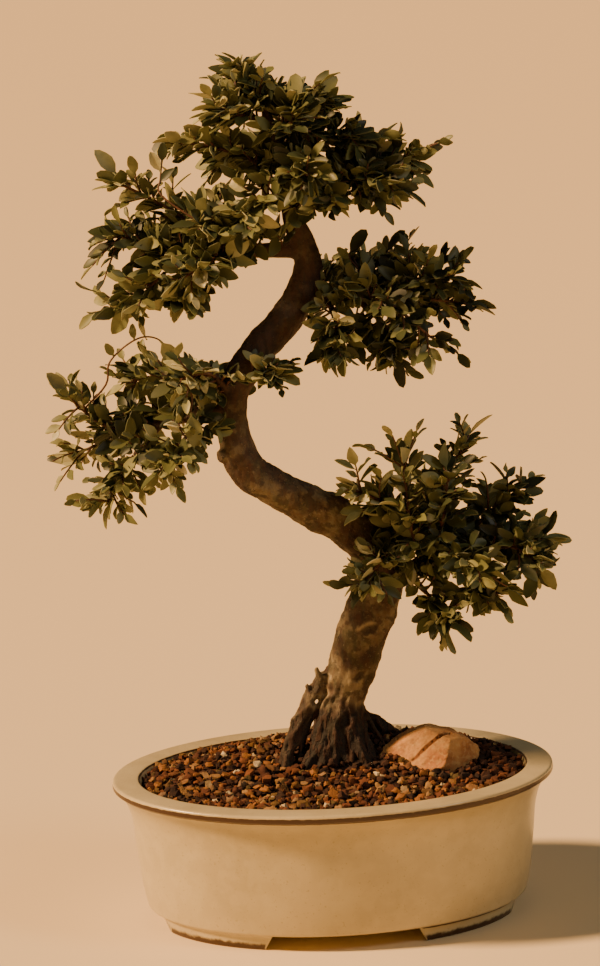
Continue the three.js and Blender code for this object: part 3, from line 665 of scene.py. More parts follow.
def glaze_marks(place):
    """How thin the glaze is at a point of the round pot, with painted shade in the crease over the feet, and
    whether its clay is bare.
    """
    rim, top, z = POT["length"], POT["height"], place.z
    radius = math.hypot(place.x, place.y)
    outer_line = fade(1.1, 2.0, abs(z - (top - POT["lip"] - 0.6))) if radius > rim - 3 else 0
    inner_line = fade(0.4, 1.5, math.hypot(radius - (rim - POT["rim"] - 0.3), z - top))
    foot_line = fade(1.8, 3.8, z) if radius > FOOT["outer"] - 3 else 0
    # Painted shade in the crease over the feet, darker to the right.
    crease_shade_share = mix(0.35, 0.95, smoothstep(-20, 40, place.x))
    crease_shade = crease_shade_share * fade(0.8, 1.9, math.hypot(radius - CREASE[0], z - CREASE[1]))
    wall = np.interp(z, [height for _, height in INNER_WALL], [across for across, _ in INNER_WALL])
    under = z < 0.4 or (z < POT["bottom"] + 1 and radius < FOOT["outer"] - 1)
    bare = under or (radius < wall + 1.5 and z < top - 3)
    return max(outer_line, inner_line, foot_line, crease_shade), float(bare)


def make_pot():
    bm = bmesh.new()
    verts = [bm.verts.new((point.x, 0, point.y)) for point in rounded(pot_corners())]
    edges = [bm.edges.new(pair) for pair in zip(verts, verts[1:])]
    bmesh.ops.spin(bm, geom=verts + edges, axis=(0, 0, 1), cent=(0, 0, 0), angle=2 * math.pi, steps=POT_STEPS,
                   use_merge=True)
    bmesh.ops.remove_doubles(bm, verts=bm.verts, dist=DOUBLES)
    thin = bm.verts.layers.float.new("thin")
    clay = bm.verts.layers.float.new("clay")
    for vert in bm.verts:
        vert[thin], vert[clay] = glaze_marks(vert.co)
    to_oval(bm)
    bmesh.ops.recalc_face_normals(bm, faces=bm.faces)
    bm = cut_away(bm, foot_gap(FOOT["front_gap"], 4 * POT["width"], 0))
    bm = cut_away(bm, foot_gap(FOOT["end_gap"], 4 * POT["length"], math.pi / 2))
    holes = bmesh.new()
    for x in (-DRAIN["offset"], DRAIN["offset"]):
        middle = Matrix.Translation((x, 0, POT["floor"] - 6))
        bmesh.ops.create_cone(holes, cap_ends=True, segments=48, radius1=DRAIN["radius"],
                              radius2=DRAIN["radius"], depth=20, matrix=middle)
    return piece_of("glazed_pot", cut_away(bm, holes), [glaze_material()], "glaze", "pot")


# Trunk

# Marks on the trunk: where it is, its half length and half height, and its tilt in degrees
SCAR = (Vector((18.6, 0, 133)), 5.4, 3.6, 22)
KNOT = (Vector((14.2, 1, 110.5)), 4.4, 2.2, 42)
SEAM = (Vector((1.5, 2, 105.5)), 9.5, 0.95, -56)

# A root is a thinner core with strands round it: how much of its radius the core has, and the strands' own
ROOT_CORE = 0.72
ROOT_STRANDS = 6
STRAND_RADIUS = 0.95

# Fine roots that fill the base between the larger ones
FINE_ROOTS = [
    ((2, 6, 101), (-5, 3, 91), (-9, 0, 79), (-12, -3, 64)),
    ((0, 8, 101), (-9, 5, 90), (-14, 2, 79), (-17, -2, 64)),
    ((3, 10, 104), (-5, 8, 96), (-11, 6, 84), (-16, 3, 66)),
    ((7, 5, 98), (6, 1, 88), (5, -2, 76), (5, -5, 64)),
    ((11, 6, 97), (13, 3, 86), (14, 0, 75), (17, -4, 64)),
    ((14, 10, 97), (19, 9, 86), (24, 8, 77), (29, 6, 65)),
    ((-3, 0, 84), (-4, -3, 76), (-4, -7, 64)),
]
FINE_ROOT_RADII = (1.5, 1.0)


def trunk_limbs():
    """Every woody limb: its kind, its route, its radii and how many sides it has."""
    rows = [("trunk", [point[:3] for point in TRUNK], [point[3] for point in TRUNK], 8, 28)]
    rows += [("root" if index else "leg", points, radii, 8, 16)
             for index, (points, *radii) in enumerate(ROOTS)]
    rows += [("fine root", points, FINE_ROOT_RADII, 8, 10) for points in FINE_ROOTS]
    rows += [("stub", points, radii, 6, 18) for points, *radii in STUBS]
    rows += [("branch", points, (radius, BRANCH_TIP_RADIUS), 6 if len(points) > 2 else 10, 12)
             for _, radius, points, _ in BRANCHES]
    limbs = []
    for kind, points, radii, steps, sides in rows:
        route = smooth_route(points, steps)
        limbs.append((kind, route, taper(radii, len(route)), sides))
    return limbs


def root_strands(route, radii, number):
    """Thin strands that run down a root, wandering round it."""
    ways = route_ways(route)
    strands = []
    for strand in range(ROOT_STRANDS):
        start = int(draw(number, strand, 81) * len(route) * 0.35)
        angle = 2 * math.pi * (strand + draw(number, strand, 82)) / ROOT_STRANDS
        points = []
        for index in range(start, len(route)):
            side = ways[index].orthogonal().normalized()
            turned = Quaternion(ways[index], angle + 0.8 * math.sin(index * 0.35 + strand)) @ side
            points.append(route[index] + turned * radii[index] * 0.86)
        strands.append((points, taper([STRAND_RADIUS, STRAND_RADIUS * 0.75], len(points))))
    return strands


def make_trunk():
    limbs = trunk_limbs()
    bm = bmesh.new()
    for number, (kind, route, radii, sides) in enumerate(limbs):
        if kind in ("root", "leg"):
            tube(bm, route, [radius * ROOT_CORE for radius in radii], sides)
            for points, thin_radii in root_strands(route, radii, number):
                tube(bm, points, thin_radii, 8)
        else:
            tube(bm, route, radii, sides)
    bm = remeshed(bm, TRUNK_VOXEL, 2)
    samples = [(kind, point, way, radius) for kind, route, radii, _ in limbs
               for point, way, radius in zip(route, route_ways(route), radii)]
    tree = kdtree.KDTree(len(samples))
    for index, (_, point, _, _) in enumerate(samples):
        tree.insert(point, index)
    tree.balance()
    layers = {name: bm.verts.layers.float.new(name) for name in ("young", "root", "hollow_shade", "callus", "pale")}
    moves = []
    for vert in bm.verts:
        place = vert.co
        near = tree.find_n(place, 24)
        _, index, _ = min(near, key=lambda found: found[2] - samples[found[1]][3])
        kind, point, way, radius = samples[index]
        rise, hollow_shade, callus = bark_relief(place, kind, point, way, radius)
        moves.append(vert.normal * rise)
        vert[layers["young"]] = fade(1.8, 4.0, radius) if kind == "branch" else 0.0
        vert[layers["root"]] = root_dark_and_shade(kind, place, (place - point).length / radius)
        vert[layers["hollow_shade"]] = hollow_shade
        vert[layers["callus"]] = callus
        vert[layers["pale"]] = pale_and_lit_bark(kind, place)
    move_points(bm, moves)
    return piece_of("elm_trunk", bm, [bark_material()], "bark", "trunk")


def root_dark_and_shade(kind, place, outward):
    """How dark the wood is near the soil: dark roots made nearly black by painted shade, and a paler root on
    the left with painted shade in the gaps between its strands.
    """
    seam = fade(0.8, 1.1, outward)
    if kind == "leg":
        return 0.45 * seam + 0.5 * fade(80, 99, place.z)
    if kind in ("root", "fine root"):
        return (0.9 + 0.1 * seam) * fade(91, 99, place.z + 2 * noise.noise(place / 3))
    # Painted shade at the trunk's base, where it meets the roots.
    return fade(88, 97, place.z + 0.35 * (place.x - 8) + 2.5 * noise.noise(place / 4))


def pale_and_lit_bark(kind, place):
    """How pale the bark is: the bark's own pale patches low on the trunk, just above the roots, with painted
    light that reaches higher on its lit left side.
    """
    if kind == "branch":
        return 0.0
    low = smoothstep(88, 98, place.z) * fade(108, 124, place.z + 0.5 * (place.x - 10))
    return low * smoothstep(-0.35, 0.1, noise.noise(place / 7))


def across_mark(place, mark):
    """Where a point lies along a mark and above its middle, and how far off, as shares of the mark's size."""
    middle, long, short, tilt = mark
    off = place - middle
    turn = math.radians(tilt)
    along = (off.x * math.cos(turn) + off.z * math.sin(turn)) / long
    above = (off.z * math.cos(turn) - off.x * math.sin(turn)) / short
    return along, above, math.sqrt(along ** 2 + above ** 2 + (off.y / (2 * long)) ** 2)


def bark_relief(place, kind, point, way, radius):
    """How far the bark stands out here, how much painted shade its recesses get, and how much of a callus it
    is.
    """
    off = place - point
    side = way.orthogonal().normalized()
    angle = math.atan2(off.dot(way.cross(side)), off.dot(side))
    size = min(radius / 10, 1)
    rise = 0.95 * size * noise.noise(place / 10) + 0.45 * size * noise.noise(place / 3.6)
    rise += 0.14 * noise.noise(place / 1.5)
    if kind in ("root", "leg"):
        rise += 0.3 * math.sin(5 * angle + 3 * noise.noise(place / 12)) + 0.25 * noise.noise(place / 3)
    elif kind == "trunk":
        bands = noise.noise(Vector((place.x / 26, place.y / 26, place.z / 4.5)))
        furrow = abs(noise.noise(Vector((place.x / 4, place.y / 4, place.z / 16))))
        rise += 0.4 * size * bands - 0.5 * size * fade(0.0, 0.12, furrow)
    along, above, reach = across_mark(place, SCAR)
    inside = fade(0.7, 1.05, abs(along)) * fade(1.6, 2.2, reach)
    below_lid = 0.7 - 0.5 * along ** 2 - above
    lid = math.exp(-(below_lid / 0.2) ** 2) * inside
    shade = smoothstep(0.1, 0.4, below_lid) * fade(0.6, 1.7, below_lid) * inside
    knot = fade(0.5, 1.0, across_mark(place, KNOT)[2])
    run, away, _ = across_mark(place, SEAM)
    seam = fade(0.5, 1.2, abs(away + 0.5 * noise.noise(place / 3)))
    seam *= fade(0.8, 1.1, abs(run)) * fade(-2, 2, place.y - SEAM[0].y)
    rise += 0.55 * lid - 0.5 * shade - 0.9 * knot - 0.7 * seam
    # Painted shade under the scar's lid, in the knot and along the seam.
    return rise, max(0.6 * shade, 0.8 * knot, 0.85 * seam), 0.7 * lid


# Stone

# The groove that slants up the stone: its middle, the way it runs and the way across it, and how far the
# shallow one lies beside it
GROOVE_MIDDLE = Vector((45, -2.9, 77))
GROOVE_WAY = Vector((0.79, 0.22, 0.57)).normalized()
GROOVE_ACROSS = GROOVE_WAY.cross(Vector((-0.29, -0.73, 0.61))).normalized()
GROOVE_HALF = 12
SECOND_GROOVE = -5.5
GROOVE_FILL = 0.25


def groove_marks(place):
    """How much a point of the stone lies in the deep groove and in the shallow one beside it."""
    off = place - GROOVE_MIDDLE
    along = off.dot(GROOVE_WAY)
    across = off.dot(GROOVE_ACROSS) + 0.6 * noise.noise(place / 6)
    inside = fade(GROOVE_HALF - 2, GROOVE_HALF, abs(along))
    deep = fade(0.6, 1.3, abs(across)) * inside
    shallow = fade(0.3, 1.0, abs(across + SECOND_GROOVE)) * fade(5, 9, abs(along + 4))
    return deep, shallow


def make_stone():
    bm = bmesh.new()
    bm.from_mesh(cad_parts["stone"].data)
    bm.transform(FROM_FRAME)
    bmesh.ops.remove_doubles(bm, verts=bm.verts, dist=DOUBLES)
    bm = remeshed(bm, STONE_VOXEL, 1)
    groove_shade = bm.verts.layers.float.new("groove_shade")
    moves = []
    for vert in bm.verts:
        layers = noise.noise(Vector((vert.co.x / 14, vert.co.y / 14, vert.co.z / 2.2)))
        rough = 0.3 * noise.noise(vert.co / 4) + 0.4 * layers + 0.16 * noise.noise(vert.co / 1.2)
        deep, shallow = groove_marks(vert.co)
        moves.append(vert.normal * (rough + GROOVE_FILL * deep - 0.2 * shallow))
        # The grooves get painted shade.
        vert[groove_shade] = max(deep, 0.25 * shallow)
    move_points(bm, moves)
    return piece_of("split_stone", bm, [stone_material()], "stone", "stone")


# Soil

GRAIN_STOPS = [
    (0.0, "1f110b"), (0.2, "3a1d10"), (0.38, "5e3319"), (0.54, "7f4b22"), (0.66, "9c6a31"), (0.73, "5b4f28"),
    (0.82, "6e3c20"), (0.91, "a98650"), (0.97, "7d634b"), (0.985, "a8946a"), (1.0, "e6d8b2"),
]
GRAIN_RADIUS = (1.15, 2.6)

# How loose grains lie: tries, how close two may come as a share of their radii, how deep and how unevenly
GRAIN_TRIES = 22000
GRAIN_CLOSENESS = 0.8
GRAIN_SUNK = 0.9
GRAIN_UNEVEN = 1.4

# The shapes of the grains: how many, the block they start from, how round and lumpy, and their crisp edges
GRAIN_SHAPES = 14
GRAIN_BLOCK = 1.5
GRAIN_ROUNDNESS = 0.52
GRAIN_LUMPS = 0.68
GRAIN_CREASE = 0.5

# The bed: its spokes and rings, how far it lies under the grains, how rough it is, and its foot's shares
BED = {"spokes": 72, "rings": 26, "below": 2.6, "rough": 1.1, "length": 0.88, "width": 0.84}

# Painted shade on the soil between the roots and right of the stone: its middle, its reach and how light it
# still is
SOIL_SHADE = [((6, 2), (27, 14), 0.15), ((76, 12), (34, 44), 0.45)]


def soil_height(x, y):
    away = ((x - SOIL["x"]) / SOIL["spread_x"]) ** 2 + ((y - SOIL["y"]) / SOIL["spread_y"]) ** 2
    return SOIL["rim"] + SOIL["mound"] * math.exp(-away)


def make_soil(material):
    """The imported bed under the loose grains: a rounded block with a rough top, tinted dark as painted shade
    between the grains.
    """
    bm = bmesh.new()
    bmesh.ops.create_circle(bm, cap_ends=True, cap_tris=True, segments=BED["spokes"], radius=1)
    spokes = [edge for edge in bm.edges if not edge.is_boundary]
    bmesh.ops.subdivide_edges(bm, edges=spokes, cuts=BED["rings"], use_grid_fill=False)
    bmesh.ops.triangulate(bm, faces=[face for face in bm.faces if len(face.verts) > 4])
    tint = bm.verts.layers.float.new("tint")
    for vert in bm.verts:
        x, y = vert.co.x * SOIL_LENGTH, vert.co.y * SOIL_WIDTH
        z = soil_height(x, y) - BED["below"] + BED["rough"] * noise.noise(Vector((x, y, 3)) / 2.4)
        vert.co = Vector((x, y, z))
        # A dark tint: painted shade in the gaps between the grains.
        vert[tint] = 0.1 + 0.3 * noise.noise(Vector((x, y, 9)) / 3)
    top = list(bm.faces)
    walls = bmesh.ops.extrude_face_region(bm, geom=top)["geom"]
    bottom = [item for item in walls if isinstance(item, bmesh.types.BMVert)]
    for vert in bottom:
        vert.co.z = POT["floor"] + 3
        vert.co.x *= BED["length"]
        vert.co.y *= BED["width"]
    bmesh.ops.recalc_face_normals(bm, faces=bm.faces)
    return piece_of("soil_bed", bm, [material], "soil", "soil")


def grain_spots(blocked):
    """Where loose grains lie: centre, radius and a number for each, packed side by side on the soil."""
    spots = []
    cell = 2 * GRAIN_RADIUS[1]
    table = {}
    for index in range(GRAIN_TRIES):
        angle = 2 * math.pi * draw(index, 501)
        share = math.sqrt(draw(index, 502))
        x = share * (SOIL_LENGTH - 1.2) * math.cos(angle)
        y = share * (SOIL_WIDTH - 1.2) * math.sin(angle)
        radius = mix(*GRAIN_RADIUS, draw(index, 503) ** 1.6)
        column, row = math.floor(x / cell), math.floor(y / cell)
        cells = [(column + dx, row + dy) for dx in (-1, 0, 1) for dy in (-1, 0, 1)]
        near = [spot for place in cells for spot in table.get(place, ())]
        if any(math.hypot(x - a, y - b) < (radius + r) * GRAIN_CLOSENESS for a, b, r in near):
            continue
        z = soil_height(x, y) - GRAIN_SUNK + spread(GRAIN_UNEVEN, index, 504)
        if any(is_inside(shape, Vector((x, y, z)), radius) for shape in blocked):
            continue
        table.setdefault((column, row), []).append((x, y, radius))
        spots.append((Vector((x, y, z)), radius, index))
    return spots


def is_inside(shape, point, radius):
    """Tells whether a grain would sink into a solid by more than a third of its radius."""
    surface, normal, _, distance = shape.find_nearest(point)
    return distance < radius * 0.6 or (point - surface).dot(normal) < 0


def painted_shade_share(point):
    """How light a grain is beside its own tint: darker where painted shade lies on the soil."""
    shares = []
    for (x, y), (reach_x, reach_y), light in SOIL_SHADE:
        away = math.hypot((point.x - x) / reach_x, (point.y - y) / reach_y)
        shares.append(mix(light, 1, smoothstep(0.7, 1.05, away)))
    return min(shares)


def make_grains(material, spots):
    """The loose grains: rough balls, each turned, flattened and tinted in its own way."""
    shapes = []
    for kind in range(GRAIN_SHAPES):
        bm = bmesh.new()
        bmesh.ops.create_cube(bm, size=GRAIN_BLOCK)
        bmesh.ops.subdivide_edges(bm, edges=bm.edges, cuts=2, use_grid_fill=True)
        for vert in bm.verts:
            vert.co = vert.co.lerp(vert.co.normalized(), GRAIN_ROUNDNESS)
            lump = noise.noise(vert.co * 1.1 + Vector((kind * 7.3, 0, 0)))
            lump += 0.7 * noise.noise(vert.co * 2.6 + Vector((0, kind * 3.1, 0)))
            vert.co *= 1 + GRAIN_LUMPS * lump
        for edge in bm.edges:
            edge.smooth = edge.calc_face_angle(0) < GRAIN_CREASE
        shapes.append(bm)
    joined = bmesh.new()
    tint = joined.verts.layers.float.new("tint")
    for point, radius, index in spots:
        shape = shapes[index % len(shapes)].copy()
        turn = Quaternion((1, 0, 0), draw(index, 505) * WHOLE_TURN)
        turn = turn @ Quaternion((0, 0, 1), draw(index, 506) * WHOLE_TURN)
        size = Matrix.Diagonal((1.2, mix(0.7, 1, draw(index, 507)), mix(0.6, 0.9, draw(index, 508)), 1))
        place = Matrix.Translation(point) @ turn.to_matrix().to_4x4()
        shape.transform(place @ size @ Matrix.Scale(radius, 4))
        layer = shape.verts.layers.float.new("tint")
        # Each grain's own tint, darkened by the painted shade.
        shade = draw(index, 509) * painted_shade_share(point)
        for vert in shape.verts:
            vert[layer] = shade
        mesh = mesh_of("grain", shape)
        joined.from_mesh(mesh)
        bpy.data.meshes.remove(mesh)
    for bm in shapes:
        bm.free()
    return piece_of("soil_grains", joined, [material], "soil")


# Foliage


class Shoot:
    """The twig of one shoot, as a curve from its branch to its last leaf."""

    def __init__(self, start, control, end):
        self.start, self.control, self.end = start, control, end

    def point(self, t):
        return bend(self.start, self.control, self.end, t)

    def way(self, t):
        return ((self.control - self.start) * (1 - t) + (self.end - self.control) * t).normalized()

    def route(self, steps):
        return [self.point(step / steps) for step in range(steps + 1)]


def shoot_curve(shoot, attempt):
    _, _, points, end_point = BRANCHES[shoot]
    tip = Vector(points[-1])
    direction = (tip - Vector(points[-2])).normalized()
    start = tip + direction * CLEARANCE
    reach = Vector(end_point) - start
    aim = start + reach * (1 - LEAF["length"] / reach.length)
    aim += scatter(3 * attempt, (11, 12, 13), shoot, attempt)
    return Shoot(start, start + direction * ((aim - start).length * 0.42), aim)


def basis(origin, heading, normal):
    """The frame of a leaf that points along heading, with its upper face towards normal."""
    across = normal.cross(heading).normalized()
    upward = heading.cross(across)
    made = Matrix((heading, across, upward)).transposed().to_4x4()
    made.translation = origin
    return made


def leaf_frame(curve, shoot, leaf, attempt):
    last = leaf == LEAVES_PER_SHOOT - 1
    along = 1 if last else 0.2 + 0.76 * leaf / (LEAVES_PER_SHOOT - 1)
    forward = curve.way(along)
    across = Quaternion(forward, spread(SHOOT_LEAN, shoot, 71)) @ UP.cross(forward).normalized()
    upward = forward.cross(across)
    side = 0 if last else (1 if leaf % 2 else -1)
    angle = side * (0.95 + spread(0.2, shoot, leaf, attempt, 1))
    pitch = (0 if last else 0.2) + spread(0.35, shoot, leaf, attempt, 2)
    flat = forward * math.cos(angle) + across * math.sin(angle)
    heading = flat * math.cos(pitch) + upward * math.sin(pitch)
    normal = Quaternion(heading, spread(0.7, shoot, leaf, attempt, 3)) @ upward
    return basis(curve.point(along), heading, normal)


def kept_leaves(shoot, solid):
    """The curve and the leaves that the solid has, found by their tips among the rule's tries."""
    corners = kdtree.KDTree(len(solid.data.vertices))
    for index, vertex in enumerate(solid.data.vertices):
        corners.insert(FROM_FRAME @ vertex.co, index)
    corners.balance()
    best = (shoot_curve(shoot, 0), [])
    for bend in range(SHOOT_TRIES):
        curve = shoot_curve(shoot, bend)
        found = []
        for leaf in range(LEAVES_PER_SHOOT):
            size = 0.88 + 0.24 * draw(shoot, leaf, 5)
            tip = Vector((LEAF["length"] * size, 0, -LEAF["tip_droop"]))
            for attempt in range(LEAF_TRIES):
                place = leaf_frame(curve, shoot, leaf, attempt)
                if corners.find(place @ tip)[2] < 0.15:
                    found.append((place, size))
                    break
        if len(found) > len(best[1]):
            best = (curve, found)
        if len(found) == LEAVES_PER_SHOOT:
            break
    return best


def leaf_point(step, wide, size, form):
    """A point of the blade: a step from stalk to tip, wide from -1 to 1. The form holds what varies."""
    blunt, narrow, fold, droop, twist, wave = form
    even = step / LEAF_STEPS
    along = mix(even, smoothstep(0, 1, even), LEAF_CROWDING)
    length = LEAF["length"] * size
    half = STALK_HALF_WIDTH
    x = along * length
    if along > STALK:
        share = (along - STALK) / (1 - STALK)
        peak = (SHOULDER / (SHOULDER + blunt)) ** SHOULDER * (blunt / (SHOULDER + blunt)) ** blunt
        half = LEAF["half_width"] * narrow * size * share ** SHOULDER * (1 - share) ** blunt / peak
        half += STALK_HALF_WIDTH * (1 - share)
        if 0.05 < share < 0.97:
            tooth = step % 2
            half *= 1.03 if tooth else 0.97
            x += 0.2 * tooth * abs(wide)
    y = wide * half
    z = LEAF["edge_lift"] * fold * abs(wide) ** 1.4 * half / LEAF["half_width"]
    z += wave * math.sin(along * 7 + wide * 2) * abs(wide) - droop * along ** 2
    turn = twist * along
    return Vector((x, y * math.cos(turn) - z * math.sin(turn), y * math.sin(turn) + z * math.cos(turn)))


class Foliage:
    """The leaves of one spray: thin sheets first, then closed blades with an upper and an under side."""

    def __init__(self):
        self.bm = bmesh.new()
        self.tint = self.bm.verts.layers.float.new("tint")
        self.number = self.bm.faces.layers.int.new("number")
        self.upwards = []

    def add(self, place, size, form, tint):
        verts = bmesh.ops.create_grid(self.bm, x_segments=LEAF_STEPS, y_segments=LEAF_CELLS, size=0.5,
                                      calc_uvs=True)["verts"]
        for vert in verts:
            step = round((vert.co.x + 0.5) * LEAF_STEPS)
            vert.co = place @ leaf_point(step, vert.co.y * 2, size, form)
            vert[self.tint] = tint
        for face in {face for vert in verts for face in vert.link_faces}:
            face[self.number] = len(self.upwards)
        self.upwards.append(place.to_3x3().col[2].copy())

    def close(self):
        """Gives every sheet its thickness, its two materials and a crisp edge."""
        bm = self.bm
        bmesh.ops.recalc_face_normals(bm, faces=bm.faces)
        bmesh.ops.solidify(bm, geom=bm.faces, thickness=LEAF["thickness"])
        bmesh.ops.recalc_face_normals(bm, faces=bm.faces)
        for face in bm.faces:
            face.material_index = 0 if face.normal.dot(self.upwards[face[self.number]]) > 0 else 1
        for edge in bm.edges:
            edge.smooth = edge.calc_face_angle(0) < LEAF_CREASE
        bm.faces.layers.int.remove(self.number)


def leaf_form(shoot, key, kept):
    """How blunt, narrow, folded, drooping, twisted and waved a leaf is. A kept one is close to its solid."""
    loose = 0.35 if kept else 1.0
    return (
        mix(0.6, 1.05, draw(shoot, key, 31)),
        1 if kept else mix(0.74, 0.98, draw(shoot, key, 36)),
        1.3 + spread(0.8, shoot, key, 32),
        LEAF["tip_droop"] * (1 + spread(0.9 * loose, shoot, key, 33)),
        spread(0.5 * loose, shoot, key, 34),
        0.35 * draw(shoot, key, 35),
    )


# The middle of each foliage pad, how much light it gets, and how far a pad reaches from its middle
PADS = {}
for pad_name, _, _, shoot_end in BRANCHES:
    PADS.setdefault(pad_name, []).append(Vector(shoot_end))
PAD_MIDDLES = {pad_name: sum(ends, Vector()) / len(ends) for pad_name, ends in PADS.items()}
PAD_LIGHT = {"low": 0.0, "left": 0.1, "right": -0.12, "upper": 0.1, "crown": -0.02}
PAD_REACH = Vector((52, 40, 36))


def leaf_tint_and_light(shoot, key, point):
    """How pale a leaf is: painted light makes it paler on the side that gets the light, and painted shade
    makes it darker deeper inside its pad.
    """
    pad = BRANCHES[shoot][0]
    out = point - PAD_MIDDLES[pad]
    depth = 1 - min(math.hypot(out.x / PAD_REACH.x, out.y / PAD_REACH.y, out.z / PAD_REACH.z), 1)
    tint = 0.46 + spread(0.36, shoot, key, 41) + PAD_LIGHT[pad]
    # Painted light to the left and at the top of the pad, painted shade deeper inside it.
    tint = tint - 0.0014 * out.x + 0.0012 * out.z - 0.34 * depth
    young = 0.3 if draw(shoot, key, 42) < 0.04 else 0
    return min(max(tint + young, 0), 1)


def square_to(heading, normal):
    """The part of a direction that is square to the heading."""
    return (normal - heading * normal.dot(heading)).normalized()


def outer_leaf(shoot, key, point, forward, lean):
    """The frame of an added leaf: it points forward and outward, and faces up and out of the pad."""
    pad = BRANCHES[shoot][0]
    out = (point - PAD_MIDDLES[pad]).normalized()
    wild = scatter(0.7, (51, 52, 53), shoot, key)
    heading = (forward + lean + out * 0.35 + wild * 0.5).normalized()
    normal = out * 0.75 + UP * 0.65 + Vector((-0.25, -0.35, 0))
    normal += scatter(0.8, (54, 55, 56), shoot, key)
    return basis(point, heading, square_to(heading, normal))


def has_room(point):
    """Tells whether an added leaf may reach here: inside the solids' box and in no space that stays clear."""
    in_box = all(BOX_LOW[axis] - 1 < point[axis] < BOX_HIGH[axis] + 1 for axis in range(3))
    return in_box and not any(a < point.x < b and c < point.z < d for (a, b), (c, d) in CLEAR)


# Where the photograph shows no leaves, seen from the front, as a range of x and a range of z
CLEAR = [
    ((0, 34), (311, 325)), ((0, 14), (306, 325)), ((-33, -8), (276, 304)), ((-50, -24), (268, 284)),
    ((-60, -34), (264, 276)), ((-24, 14), (230, 247)), ((-22, -4), (264, 275)),
]


def side_twig(start, forward, turn, length, angle):
    """A short twig that leaves its parent at an angle, turned round it."""
    across = Quaternion(forward, turn) @ forward.orthogonal().normalized()
    way = forward * math.cos(angle) + across * math.sin(angle)
    way = (way + UP * 0.15).normalized()
    control = start + (way + forward * 0.3).normalized() * length * 0.5
    return Shoot(start, control, start + way * length)


# Side twigs that reach where the photograph shows more leaves: where each one ends
REACHING = {
    "spray_upper_01": [(-98, -10, 308), (-96, -10, 318), (-93, -12, 302)],
    "spray_upper_03": [(-97, -10, 296), (-98, -12, 287)],
    "spray_left_01": [(-117, -10, 235)],
    "spray_left_03": [(-111, -25, 205)],
    "spray_left_04": [(-121, 5, 218), (-118, 2, 209), (-116, 5, 226)],
    "spray_low_02": [(67, 6, 198), (62, 0, 206)],
    "spray_low_03": [(69, 8, 189), (78, 6, 180)],
    "spray_low_09": [(15, -20, 213), (10, -18, 202)],
    "spray_low_10": [(60, -18, 197)],
    "spray_low_13": [(22, -20, 221), (32, -20, 226), (43, -18, 227)],
    "spray_right_05": [(59, -25, 269), (64, -25, 261)],
    "spray_right_06": [(10, -25, 264)],
    "spray_crown_01": [(61, 0, 355)],
    "spray_crown_13": [(6, -15, 384)],
    "spray_crown_14": [(36, 0, 358)],
}

# Shoots that stand out of the pads: the spray, the twig's route, and each leaf's place along it and tip
LEADERS = [
    ("spray_left_01",
     ((-95, -9, 254), (-93, -12, 264), (-86, -12, 271), (-78, -12, 275), (-71, -12, 274), (-66, -12, 269)),
     ((0.86, (-61, -12, 261)), (0.4, (-94, -15, 273)), (0.6, (-82, -9, 281)), (1, (-66, -16, 259)))),
    ("spray_left_06", ((-57, -28, 250), (-58, -30, 243)), ((1, (-56, -32, 226)),)),
    ("spray_left_03", ((-92, -22, 207), (-85, -21, 202)), ((1, (-79, -20, 195)), (0.7, (-92, -24, 197)))),
    ("spray_upper_02", ((-80, 8, 341), (-85, 8, 346)), ((1, (-94, 8, 358)), (0.8, (-90, 5, 340)))),
    ("spray_upper_07", ((-66, -12, 338), (-66, -9, 345), (-65, -8, 352)),
     ((0.6, (-60, -10, 350)), (0.8, (-70, -8, 357)), (1, (-64, -8, 361)))),
    ("spray_right_02", ((18, 4, 303), (17, 2, 306)), ((1, (25, 2, 317)), (0.5, (12, 4, 309)))),
    ("spray_right_02", ((34, 3, 303), (34, 2, 306)), ((1, (42, 2, 316)), (0.7, (30, 2, 311)))),
    ("spray_right_08", ((56, -2, 301), (64, 2, 301)), ((1, (72, 2, 301)), (0.7, (61, 0, 310)))),
    ("spray_low_06", ((76, -34, 160), (80, -32, 157)), ((1, (89, -31, 146)), (0.6, (84, -38, 165)))),
    ("spray_upper_01", ((-13, 2, 313), (-15, -6, 317)),
     ((0.4, (-7, 0, 318)), (0.6, (-22, -3, 320)), (0.8, (-10, -12, 323)), (1, (-17, -17, 320)),
      (0.9, (-19, -14, 309)))),
    ("spray_upper_01", ((-24, 2, 312), (-26, -7, 314)),
     ((0.4, (-19, -2, 320)), (0.6, (-33, -3, 316)), (0.8, (-20, -12, 307)), (1, (-29, -17, 317)),
      (0.9, (-30, -13, 306)))),
    ("spray_upper_01", ((-33, 2, 312), (-36, -7, 312)),
     ((0.4, (-29, -3, 318)), (0.6, (-42, -4, 318)), (0.8, (-29, -12, 307)), (1, (-41, -16, 311)),
      (0.9, (-38, -13, 304)))),
    ("spray_right_01", ((22, -4, 280), (24, -10, 274)),
     ((0.5, (15, -9, 276)), (0.6, (31, -8, 281)), (0.8, (17, -16, 270)), (1, (27, -17, 265)),
      (0.9, (33, -14, 272)))),
    ("spray_right_01", ((19, -4, 279), (19, -12, 268)),
     ((0.6, (11, -10, 270)), (0.7, (26, -13, 263)), (0.9, (13, -17, 262)), (1, (20, -18, 259)))),
]


def nearest_wood(curve, shoot, point):
    """The point of a spray's twig or of its branch that is nearest to the one given."""
    wood = curve.route(20) + smooth_route(BRANCHES[shoot][2], 8)
    return min(wood, key=lambda place: (place - Vector(point)).length)


